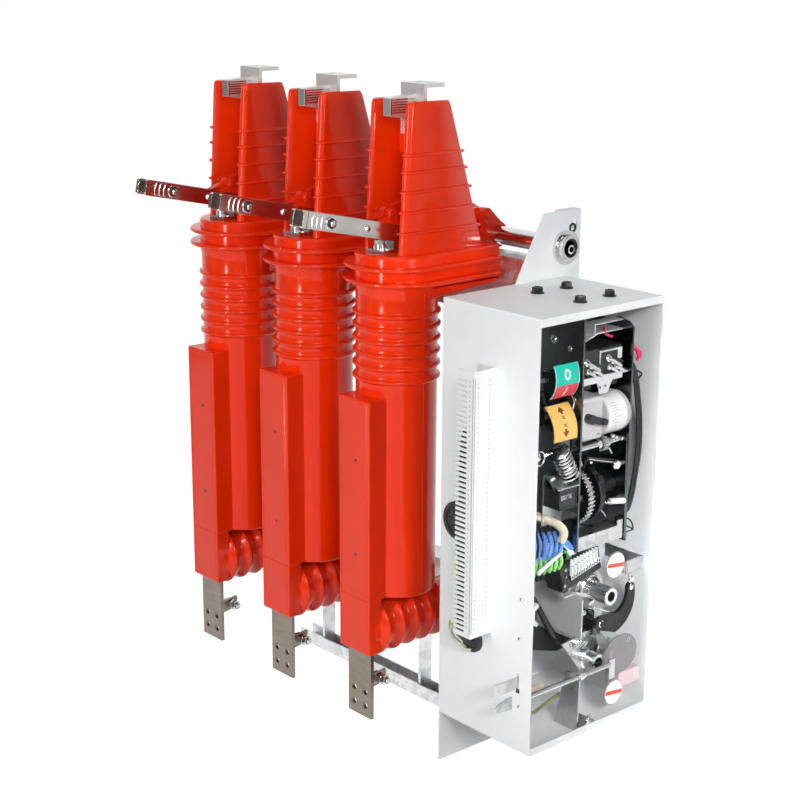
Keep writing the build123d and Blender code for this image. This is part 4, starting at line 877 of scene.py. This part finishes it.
for k in range(4):
    s.tube([(168, -196 + 3 * k, 8 - 2 * k), (178, -186 + 3 * k, 6 - 2 * k), (174, -178 + 2 * k, -8 - k),
            (162, -176, -18)], 1.5, 7, 5)
s.use(WIRE_BLUE)
for k in range(3):
    s.tube([(160, -192 + 4 * k, 22), (172, -184 + 4 * k, 18), (178, -176 + 3 * k, 6)], 1.8, 7, 5)
s.use(SIGN_WHITE)
for k in range(5):
    s.tube([(168, -186 + 4 * k, 16 - 2 * k), (178, -182 + 4 * k, 8 - 2 * k), (180, -178 + 3 * k, -2)],
           1.3, 7, 5)
s.make("fine_wires")
# white edge strip under the wires
s = Shape(SIGN_WHITE)
s.plate([(-254, -9), (-204, 11), (-201, 9), (-251, -13)], 184, 4)
s.make("edge_strip", bevel=0.5)

# stepped terminal decks on the auxiliary switch
PLACES = 9
tilt = radians(13)
ey, ez = Vector((0, cos(tilt), sin(tilt))), Vector((0, -sin(tilt), cos(tilt)))


def on_switch(x, a, b):
    """A point of the tilted switch: a along its decks, b up its face."""
    return Vector((x, -186, -26)) + ey * a + ez * b


deck = [(row, 6 + 7.4 * k, 5 - 9 * row) for row in range(3) for k in range(PLACES)]
comb = [(-183 + 6.5 * k, -31 + 1.7 * k, -8 + 0.9 * k) for k in range(PLACES)]
s = Shape(PLASTER)
for row, a, b in deck:
    x = 168 + 5 * row
    s.prism([(0, -3.4), (5.8, -3.4), (5.8, 3.6), (4.6, 4.2), (0, 4.2)], on_switch(x, a, b), ey, ez, 6)
    s.prism([(1.2, -1), (4.6, -1), (4.6, 5.8), (1.2, 5.8)], on_switch(x - 4, a, b), ey, ez, 4)
s.use(BLACK).plate([(-184, -31), (-122, -17), (-122, 2), (-184, -6)], 184, 1.5)
s.use(PLASTER)
for y, z0, z1 in comb:
    s.plate([(y, z0), (y + 4.2, z0 + 0.8), (y + 4.2, z1), (y + 2.8, z1 + 2.4), (y + 1.2, z1 + 2.2), (y, z1)],
            185, 4.5)
    s.block(188, 191, y + 0.6, y + 3.6, z0 + 3, z0 + 8)
# black discs on the combs and black squares on the decks stand for screw openings: painted shade
s.use(BLACK)
for y, z0, z1 in comb:
    s.lathe((189.5, y + 2.1, z0 + 15), X, [(1.1, 0.1), (0, 0.1)], 10)
for row, a, b in deck:
    x = 168 + 5 * row
    s.prism([(1.6, -1.6), (4.2, -1.6), (4.2, 1.4), (1.6, 1.4)], on_switch(x + 6.05, a, b), ey, ez, 0.3)
    s.prism([(-0.9, -4), (-0.3, -4), (-0.3, 4.4), (-0.9, 4.4)], on_switch(x, a, b), ey, ez, 6.2)
s.make("switch_terminals")
s = Shape(BLACK)
s.prism([(-13, -30), (-4, -30), (3, 8), (-2, 16), (-15, 8)], on_switch(150, 0, 0), ey, ez, 34)
s.tube([on_switch(184, a, b) for a, b in ((-17, -26), (-6, -2), (10, 12), (34, 16), (66, 10))], 2.2, 8)
s.use(BRIGHT)
for a, b in ((-10, -18), (-6, -4), (-3, 6)):
    s.pan(on_switch(184, a, b), X, 2.7, BLACK)
s.make("switch_frame", bevel=0.5)

# cable along the right wall
s = Shape(WIRE_BLACK)
for dy, dx, r in ((0, 0, 2.7), (6.0, 0.6, 2.6)):
    s.tube([(150 + dx, -34 + dy, 268), (166 + dx, -42 + dy, 264), (176 + dx, -46 + dy, 250),
            (178 + dx, -41 + dy, 218), (178 + dx, -35 + dy, 181), (178 + dx, -34 + dy, 133),
            (177 + dx, -39 + dy, 92), (176 + dx, -44 + dy, 62), (174 + dx, -48 + dy * 0.6, 40),
            (160 + dx, -46 + dy * 0.6, 30), (140, -38, 20)], r, 12, 6)
s.tube([(176, -47, 26), (178, -40, 20), (177, -34, 6), (168, -38, 0)], 1.3, 8)
s.tube([(176, -48, 14), (178, -38, 8), (176, -32, 4)], 1.3, 8)
s.tube([(174, -44, 262), (178, -38, 258), (179, -32, 253), (178, -38, 247)], 1.6, 8)
s.make("wall_cable")
s = Shape(WIRE_RED)
s.tube([(170, -44, 296), (176, -41, 290), (178, -40, 282), (177, -42, 275)], 3.6, 10, 6, 2.0)
s.tube([(174, -38, 292), (178, -35, 286), (178, -36, 278)], 2.2, 8, 5, 1.2)
s.tube([(150, -88, 328), (160, -96, 322), (166, -90, 318), (160, -80, 316)], 2.2, 8)
s.make("red_cap")

# Lower unit
UPPER_Y, UPPER_Z, LOWER_Y, LOWER_Z = -95, -86, -112, -193     # axes of the operating sockets
s = Shape(BRIGHT)
s.lathe((145, UPPER_Y, UPPER_Z), X, [(20.5, 0), (22, 1.6), (22, 4.4), (20.5, 6), (18, 6)], 40)
s.lathe((145, UPPER_Y, UPPER_Z), X, [(23, 0.0), (23.6, 0.9), (29.6, 0.9), (30.2, 0)], 48)
for a in range(0, 360, 60):
    for q in (-9, 9):
        y, z = UPPER_Y + 14.2 * cos(radians(a + q + 30)), UPPER_Z + 14.2 * sin(radians(a + q + 30))
        s.tube([(151, y, z), (191.5, y, z)], 0.8, 6, 1)
s.lathe((191, UPPER_Y, UPPER_Z), X, [(8.4, 0), (8.8, 1.2), (13.4, 1.2), (13.8, 0)], 30)
for a in (60, 150, 240, 330):
    s.pan((145, UPPER_Y + 25.5 * cos(radians(a)), UPPER_Z + 25.5 * sin(radians(a))), X, 2.6, BLACK)
s.use(BLACK_STEEL).lathe((176, UPPER_Y, UPPER_Z), X, [(8.0, 16), (7.6, 15.2), (7.6, 4), (0, 4)], 28)
s.lathe((186, LOWER_Y, LOWER_Z), X, [(9.2, 0.2), (8.9, -0.6), (8.9, -8), (0, -8)], 28)
s.use(BRIGHT).lathe((163, LOWER_Y, LOWER_Z), X, [(14, 0), (17.5, 0), (17.5, 3), (15, 4.4), (14, 4.4)], 34)
s.prism([(-9, 0), (9, 0), (9, 1.6), (-9, 1.6)], (182, -112, -194), Y, Z, 2)
s.make("socket_trim")
s = Shape(BLACK_STEEL)
s.coil((158, -105, -154), (158, -104, -116), 5.6, 1.5, 10, 8)
s.use(BRIGHT).tube([(158, -112, -158), (160, -104, -160), (168, -98, -157)], 1.6, 8)
s.tube([(156, -103, -112), (166, -96, -114), (184, -68, -124), (187, -60, -128)], 1.5, 8)
s.lathe((187, -114, -126), X, [(0, 2), (5.6, 2), (5.6, 4.2), (4, 5.4), (0, 5.6)], 22)
s.lathe((187, -47, -83), X, [(0, 2), (4.4, 2), (4.4, 4), (3, 5), (0, 5.2)], 20)
s.use(BRIGHT).tube([(188, -50, -60), (188, -49, -72), (189, -47, -82)], 1.8, 8)
s.lathe((187, -46, -70), X, [(0, 0), (5, 0), (5, 3), (3.4, 4.4), (0, 4.6)], 20)
s.make("lever_pins")
DISC_R, BAR_HALF, BAR_TILT = 19.4, (18.6, 3.3), radians(-7)
bar_along, bar_up = Vector((0, cos(BAR_TILT), sin(BAR_TILT))), Vector((0, -sin(BAR_TILT), cos(BAR_TILT)))
s = Shape(RIM_GREY)
for at in ((189, -84, -38), (197, -86, -246)):
    s.use(RIM_GREY).lathe(at, X, [(20.5, -3.05), (21.2, -2.6), (21.2, -0.6), (20.6, 0.1), (DISC_R, 0.12)], 48)
    s.use(SIGN_WHITE).lathe(at, X, [(DISC_R, 0.1), (0, 0.14)], 48)
    s.use(BAR_RED)
    s.add([Vector(at) + Vector((0.2, 0, 0)) + bar_along * BAR_HALF[0] * a + bar_up * BAR_HALF[1] * b
           for a, b in ((-1, -1), (1, -1), (1, 1), (-1, 1))], [(0, 1, 2, 3)])
s.use(RIM_GREY).tube([(190, -64, -38), (190, -61, -46), (190, -60, -58)], 2.4, 8)
s.make("disc_faces")
s = Shape(SMOKE)
s.lathe((189, -64, -190), X, [(28, 0.1), (29, 0.7), (30, 0.1)], 48)
s.use(BRIGHT).lathe((189, -48, -171), X, [(2.6, 0.1), (3.6, 0.1), (3.6, 0.6), (2.6, 0.6)], 20)
s.use(RIM_GREY).block(189, 189.5, -90, -84, -212, -180)
s.make("guard_trim")
s = Shape(GREY)
s.block(162, 178, -58, -30, -224, -205)
s.use(PINK).block(187, 187.6, -62, -18, -249, -226)
s.make("lock_top", bevel=1.0)
# folded strips behind and beside the socket plate
s = Shape(ZINC)
s.plate([(-151, -74), (-100, -92), (-100, -150), (-151, -142)], 150, 2)
s.prism([(168, -156), (176, -163), (182, -204), (176, -212), (160, -206), (150, -168)], (0, -152, 0),
        (1, 0.4, 0), Z, 2)
s.make("folded_strips", bevel=0.5)
# a black sheet behind the socket plate: painted shade where the inside of the lower unit lies in shadow
s = Shape(BLACK)
s.plate([(-262, -108), (-190, -127), (-90, -184), (-130, -192), (-192, -172), (-262, -160)], 112, 3)
s.make("lower_painted_shade")
s = Shape(BRIGHT)
for k in range(6):
    s.tube([(160 + 2 * k, -156 + 5 * k, -158 - 2 * k), (164 + 2 * k, -150 + 5 * k, -152 - k),
            (170, -146 + 5 * k, -158),
            (166, -148 + 5 * k, -166)], 1.0, 6, 4)
s.make("safety_wire")
s = Shape(WIRE_BLACK)
s.tube([(90, -200, -60), (106, -188, -80), (120, -170, -120), (130, -156, -152), (150, -150, -162)], 5, 10)
s.tube([(100, -262, -100), (118, -248, -108), (120, -236, -118), (104, -220, -128)], 3.4, 10)
s.make("lower_wires")
s = Shape(WIRE_BLUE)
s.tube([(120, -262, -158), (140, -256, -156), (158, -250, -154), (172, -247, -156)], 4.0, 10, 5, 2.2)
s.tube([(122, -262, -72), (136, -254, -74), (150, -248, -76)], 3.2, 10, 5, 1.6)
s.use(ZINC).block(158, 165, -258, -246, -192, -162)
s.make("sleeve_ends")
s = Shape(OLIVE)
s.tube([(182, -262, -228), (180, -248, -236), (172, -234, -241), (168, -216, -240), (168, -196, -235),
        (166, -176, -232)], 2.6, 9, 6)
s.use(CREAM).tube([(182, -263, -229.5), (180, -249, -238), (172, -235, -243), (168, -217, -242),
                   (168, -197, -237)], 1.8, 8, 6)
s.use(CREAM).plate([(-262, -232), (-196, -236), (-188, -214), (-256, -214)], 146, 1.2)
s.use(SIGN_WHITE).block(178, 186, -266, -259, -256, -232).use(BLACK).block(176, 186.2, -262, -258, -250, -236)
s.make("earth_wire")
# plastic clip at the left edge
s = Shape(PLASTER)
s.plate([(-258, -66), (-246, -60), (-244, -66), (-252, -70), (-252, -86), (-244, -92), (-247, -97),
         (-258, -90)], 176, 7)
s.use(BLACK).block(174, 183.1, -251, -247, -84, -72)
s.make("edge_clip", bevel=0.4)
# rod collar and stand's foot bolt
s = Shape(BRIGHT)
s.lathe((193.5, -162, -198), FRONT, [(4, -4), (7, -4), (7, 4), (4, 4)], 24)
s.lathe((193.5, -156, -198), Y, [(4, 0), (5.4, 0), (5.4, 3), (4, 3)], 24)
s.bolt((180, -124, -288.5), Z, 4.6, 3.4)
s.thread((180, -124, -285), Z, 2.4, 6)
s.make("rod_collars")
# rivets on the lips of the housing
s = Shape(BRIGHT)
for y, z in ((-34, -24), (-34, -260), (-262, 300)):
    s.pan((197.5, y, z), X, 0.8)
s.make("lip_rivets")


# Poles, smooth over their whole length
def oblong_ring(x, r, z, back, n=40):
    """A loop that runs round the pole axis in front and straight to the back."""
    pts = [(x - r, back, z)]
    for i in range(n + 1):
        a = pi + pi * i / n
        pts.append((x + r * cos(a), POLE_Y + r * sin(a), z))
    pts.append((x + r, back, z))
    return pts


def oblong_body(s, x, profile, back):
    """Stacked oblong loops from a profile of (radius, height)."""
    s.loft([oblong_ring(x, r, z, back - max(0.0, profile[1][0] - r) * 0.4) for r, z in profile])


def rim(r, z0, z1, q, steps=4):
    """Profile of a disc with round edges."""
    turns = [pi / 2 * i / steps for i in range(steps + 1)]
    return ([(r - q + q * sin(a), z0 + q - q * cos(a)) for a in turns]
            + [(r - q + q * cos(a), z1 - q + q * sin(a)) for a in turns])


FRONT_HALF = 37.5                     # half the width of a pole's flat front
BARREL_R, BARREL_RINGS, RING_STEP = 65, 6, 20.8
RING = [(65, 5.6), (65.3, 4.2), (66.4, 3.3), (68.8, 2.7), (69.7, 1.4), (69.9, 0)]
SHED = [(40, 12.5), (40.8, 10.5), (44, 7.4), (48.5, 3.6), (50.6, 1.4), (51, 0)]
WING_H = 231
WING_LEVELS = (-4, 10, 60, 120, 180, 216, 224, 228.5, 230.5)
WING_RIBS = (33, 65, 96, 126, 152)
RIB = ((-2.6, 0.4), (-1.9, 3.6), (-1.1, 4.8), (0.6, 5.0), (1.5, 4.2), (2.2, 2.4), (2.8, 0.4))
POST_START, POST_Z, POST_SHEDS, SHED_STEP = POLE_Y - 74, -195, 5, 31


def barrel(s, x):
    prof = [(0, POLE_FOOT), (62.5, POLE_FOOT), (64.6, -138.6), (BARREL_R, -136.5)]
    for i in reversed(range(BARREL_RINGS)):
        prof += ridge(POLE_TOP - 94 - i * RING_STEP, RING)
    prof += [(BARREL_R, 352), (65.6, 358), (67, 362), (67, 380), (0, 380)]
    s.lathe((x, POLE_Y, 0), Z, prof, 96)


def wing_at(h):
    """Front and back edge of the tapered wing at a height above the pole's top."""
    return POLE_Y - 30 + 14 * h / WING_H, POLE_Y + 139 - 73 * h / WING_H


def wing_loop(x, side, h, grow=0.0):
    """Outline of a wing's cross-section at one height: round at its outer front edge."""
    f, b = wing_at(h)
    f, b = f - grow, b + grow * 0.5
    inner, outer = x + side * (38 if grow else 36), x + side * (48 + grow)
    q = 9 + grow
    turns = [pi / 2 * i / 7 for i in range(8)]
    return ([(inner, b), (inner, f + 1.6), (inner + side * 1.6, f)]
            + [(outer - side * q + side * q * sin(a), f + q - q * cos(a)) for a in turns]
            + [(outer, b - 3), (outer - side * 3, b)])


def wing_crown(pts, h):
    """A wing's outline at its place in height: drawn in and crowned towards the rounded top."""
    t = max(0.0, (h - 222) / 9)
    cx = sum(px for px, py in pts) / len(pts)
    f, b = wing_at(h)
    out = []
    for px, py in pts:
        if t:
            px, py = cx + (px - cx) * (1 - 0.35 * t * t), py + (2.6 if py < POLE_Y else -2.6) * t * t
        out.append((px, py, POLE_TOP + h + (4 * max(0, 1 - abs(py - f - 38) / 38) if h > 200 else 0)))
    return out


def wing(s, x, side):
    s.loft([wing_crown(wing_loop(x, side, h), h) for h in WING_LEVELS], outward=False)
    for h in WING_RIBS:
        s.loft([[(px, py, POLE_TOP + h + dz) for px, py in wing_loop(x, side, h, grow)] for dz, grow in RIB],
               outward=False)


def post(s, x):
    prof = [(0, 0), (40, 0)]
    for i in range(POST_SHEDS):
        prof += ridge(4 + SHED_STEP * (i + 0.5), SHED)
    foot = POLE_BACK - 12 - POST_START
    prof += [(40, foot), (43, foot), (44, foot + 1.5), (44, foot + 12), (0, foot + 12)]
    s.lathe((x, POST_START, POST_Z), Y, prof, 72)


for k, x in POLES.items():
    s = Shape(RED)
    barrel(s, x)
    neck = [(67 - 5.5 + 5.5 * cos(a), POLE_TOP - 5.5 + 5.5 * sin(a)) for a in [pi / 10 * i for i in range(6)]]
    oblong_body(s, x, [(60, 361), (67, 365.5)] + neck + [(60, POLE_TOP)], POLE_BACK)
    for z in (POLE_TOP - 19, POLE_TOP - 42):
        oblong_body(s, x, [(66, z - 3)] + rim(84, z - 3.2, z + 3.2, 3.0, 5) + [(66, z + 3)], -77)
    s.plate([(POLE_Y, 362), (POLE_BACK, 362), (POLE_BACK, 358), (POLE_Y + 20, 348), (POLE_Y, 348)],
            x - 66, 132)
    for side in (-1, 1):
        wing(s, x, side)
    s.block(x - 37, x + 37, -186, -177, 562, 643)
    post(s, x)
    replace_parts(s.make("pole_body_" + k, smooth=50), "pole_" + k)
    # flat front, broad along the barrel and narrow down its neck
    s = Shape(RED)
    s.block(x - FRONT_HALF, x + FRONT_HALF, POLE_FRONT, POLE_Y, POLE_FOOT, 192)
    s.block(x - FRONT_HALF, x + FRONT_HALF, POLE_FRONT, -284, -233, -138)
    s.make("pole_front_" + k, bevel=2.4, smooth=50)

# Blades with blunt tips, their red arms, and the sprung fingers of the fixed contacts
BAR_IN, BAR_OUT = 9, 15               # inner and outer face of a blade's bars, from its middle
TIP_BOLT, MID_SCREW = 146, 74         # from the pivot, along the blade
arm_a, arm_b = ARM.dot(ALONG), ARM.dot(UNDER)
ARM_OUTLINE = [(arm_a - 11, arm_b), (arm_a - 6, arm_b - 8), (arm_a + 4, arm_b - 9), (arm_a + 12, arm_b - 3),
               (32, -25), (48, -17), (64, -11.5), (60, -8), (4, 6), (-11, -4)]
for k, x in POLES.items():
    s = Shape(BLADE)
    for x0, x1 in ((-BAR_OUT, -BAR_IN), (BAR_IN, BAR_OUT)):
        at = (x + x0, PIVOT.y, PIVOT.z)
        s.prism([(0, -13), (198, -13), (200.5, -11), (200.5, 11), (198, 13), (0, 13)], at, ALONG, UNDER,
                x1 - x0)
        s.lathe(at, X, rod(13, x1 - x0), 40)
    # lips turned in at the tips, clear of the contact between the bars
    for x0, x1 in ((-9, -8.6), (8.6, 9)):
        s.prism([(190, -11), (200, -11), (200, 11), (190, 11)], (x + x0, PIVOT.y, PIVOT.z), ALONG, UNDER,
                x1 - x0)
    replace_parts(s.make("knife_" + k, "blade_" + k, bevel=0.6), "blade_" + k)
    s = Shape(RED_LINK)
    for x0, x1 in ((-14, -10), (10, 14)):
        s.prism(ARM_OUTLINE, (x + x0, PIVOT.y, PIVOT.z), ALONG, UNDER, x1 - x0)
    s.lathe(PIVOT + ARM + Vector((x - 16.5, 0, 0)), X,
            [(0, 0), (5.4, 0), (6, 1), (6, 32), (5.4, 33), (0, 33)], 24)
    s.make("blade_arms_" + k, "blade_" + k, bevel=0.8)
    s = Shape(CHROME)
    for side in (-1, 1):
        for z in range(6):
            s.block(*sorted((x + side * 7.5, x + side * 8.3)), -240, -193, 627.5 + z * 3.9, 629.7 + z * 3.9)
        s.block(*sorted((x + side * 7.5, x + side * 8.1)), -243, -240, 625, 650)
    s.block(x - 7.3, x + 7.3, -244.6, -244, 625, 650)
    s.make("contact_fingers_" + k)

# Hardware on all three poles
EARTH_Y, EARTH_Z = -256.5, -296       # axis of the earthing stud


def on_blade(x, a, b, c=0.0):
    """A point of the open blade: a from the pivot, b above its middle, c to the side."""
    return Vector((x + c, PIVOT.y, PIVOT.z)) + ALONG * a - UNDER * b


for k, x in POLES.items():
    s = Shape(BRIGHT)
    # nuts and washers on both sides of the pivot pin, fixing screws of the blade base
    for side in (-1, 1):
        s.lathe((x + side * 21, PIVOT.y, PIVOT.z), (side, 0, 0),
                [(0, 0), (6, 0), (6, 1), (4.6, 2.4), (0, 2.6)], 20)
        s.pan((x + side * 14, POLE_Y - 32, POLE_TOP + 6), Z, 3.6, BLACK)
    s.use(STEEL).hexagon((x, POLE_Y - 34, POLE_TOP + 14), Z, 9, 6, 0.3)
    s.thread((x, POLE_Y - 34, POLE_TOP + 20), Z, 4.4, 6)
    s.make("pivot_hardware_" + k)
    # bolts that hold the upper strip to the web, and the lower strip's fixings
    s = Shape(STEEL)
    for dx in (-15, 15):
        s.bolt((x + dx, -192, 610), FRONT, 6.5, 4.5, 0.1)
    s.make("strip_bolts_" + k)
    s = Shape(STEEL)
    y, z = EARTH_Y, EARTH_Z
    for side, at in ((1, 22), (-1, 16)):
        s.thread((x + side * at * 0.3, y, z), (side, 0, 0), 5.05, at * 0.7 + 0.4)
    s.hexagon((x + 3.4, y, z), X, 9, 7, 0.4)
    s.washer((x + 10.4, y, z), X, 9.5, 1.6)
    s.hexagon((x + 13, y, z), X, 8.4, 6.4, 0.1)
    s.hexagon((x - 3.4, y, z), (-1, 0, 0), 9, 7, 0.7)
    s.make("earth_nuts_" + k)
    # mould seams; front holes as flat black discs of painted shade
    s = Shape(RED)
    for side in (-1, 1):
        s.prism([(-0.7, 0), (0.7, 0), (0.3, 0.8), (-0.3, 0.8)], (x + side * 64.6, POLE_Y, -128),
                (0, side, 0), (side, 0, 0), -488)
    for r, inset in ((0.55, 5.5), (0.4, 8.0)):
        a, b = FRONT_HALF - inset, 192 - inset
        s.tube([(x - a, -309.9, -228), (x - a, -309.9, b - 3), (x - a + 3, -309.9, b), (x + a - 3, -309.9, b),
                (x + a, -309.9, b - 3), (x + a, -309.9, -228)], r, 6, 1)
    s.make("mould_seams_" + k)
    # black discs on the flat front stand for its holes: painted shade
    s = Shape(BLACK)
    for z in (92, -66):
        s.lathe((x + 4, POLE_FRONT, z), FRONT, [(2.7, 0.0), (2.7, 0.15), (0, 0.15)], 20)
    s.make("painted_hole_shade_" + k)
    # blade: bolts with washers, ridges across its bars, edge lines at the tip
    s = Shape(BRIGHT)
    for side in (-1, 1):
        out = (side, 0, 0)
        s.use(BRIGHT).washer(on_blade(x, TIP_BOLT, 0, side * BAR_OUT), out, 10.4, 1.4)
        s.use(BLACK_STEEL).lathe(on_blade(x, TIP_BOLT, 0, side * 16.4), out,
                                 [(8.4, 0), (8.4, 1.6), (7, 2.4), (5, 2.6)], 6, 0.4)
        s.use(BRIGHT).lathe(on_blade(x, TIP_BOLT, 0, side * 16.4), out,
                            [(5, 0), (5, 3.2), (3.6, 4), (0, 4.2)], 22)
        s.pan(on_blade(x, MID_SCREW, 0, side * BAR_OUT), out, 5.2, BLACK)
        s.washer(on_blade(x, 0, 0, side * BAR_OUT), out, 9.6, 0.6)
        for a in (164, 173, 182):
            s.tube([on_blade(x, a + da, b, side * c) for da, b, c in (
                (-4, 11, 14.6), (0, 9, 15.3), (1.4, 0, 15.5), (0, -9, 15.3), (-4, -11, 14.6))], 0.7, 8, 4)
        s.use(BLACK_STEEL)
        s.tube([on_blade(x, 192, 12.6, side * BAR_OUT), on_blade(x, 192, -12.6, side * BAR_OUT)], 0.5, 6, 1)
    s.use(STEEL)
    s.lathe(on_blade(x, TIP_BOLT, 0, -BAR_IN), X, [(7, 0), (7, 18)], 22)
    s.lathe(on_blade(x, MID_SCREW, 0, -BAR_IN), X, [(4, 0), (4, 18)], 20)
    s.make("blade_hardware_" + k, "blade_" + k)
    # crank: keeper bolts
    s = Shape(RED_LINK)
    pin = SHAFT + ARM
    for side in (-1, 1):
        s.washer((x + side * 19, pin.y, pin.z), (side, 0, 0), 8.4, 1.2)
        s.hexagon((x + side * 20.2, pin.y, pin.z), (side, 0, 0), 6.6, 3.2, 0.3)
    s.make("crank_nuts_" + k, "shaft")
    # where the post meets the rail, and the neck the beam
    s = Shape(BRIGHT)
    for dx, z in ((-51, -163.5), (51, -163.5), (-51, -226.5), (51, -226.5), (-78, 330), (78, 330)):
        s.bolt((x + dx, POLE_BACK, z), FRONT, 7, 4.6)
    s.make("rail_bolts_" + k)
# feet of the rear frame
s = Shape(BRIGHT)
for x in (-278, -552):
    s.bolt((x + 12, -55, -426), Z, 6, 4)
    s.bolt((x - 6, -55, -426), Z, 6, 4)
s.make("foot_bolts")
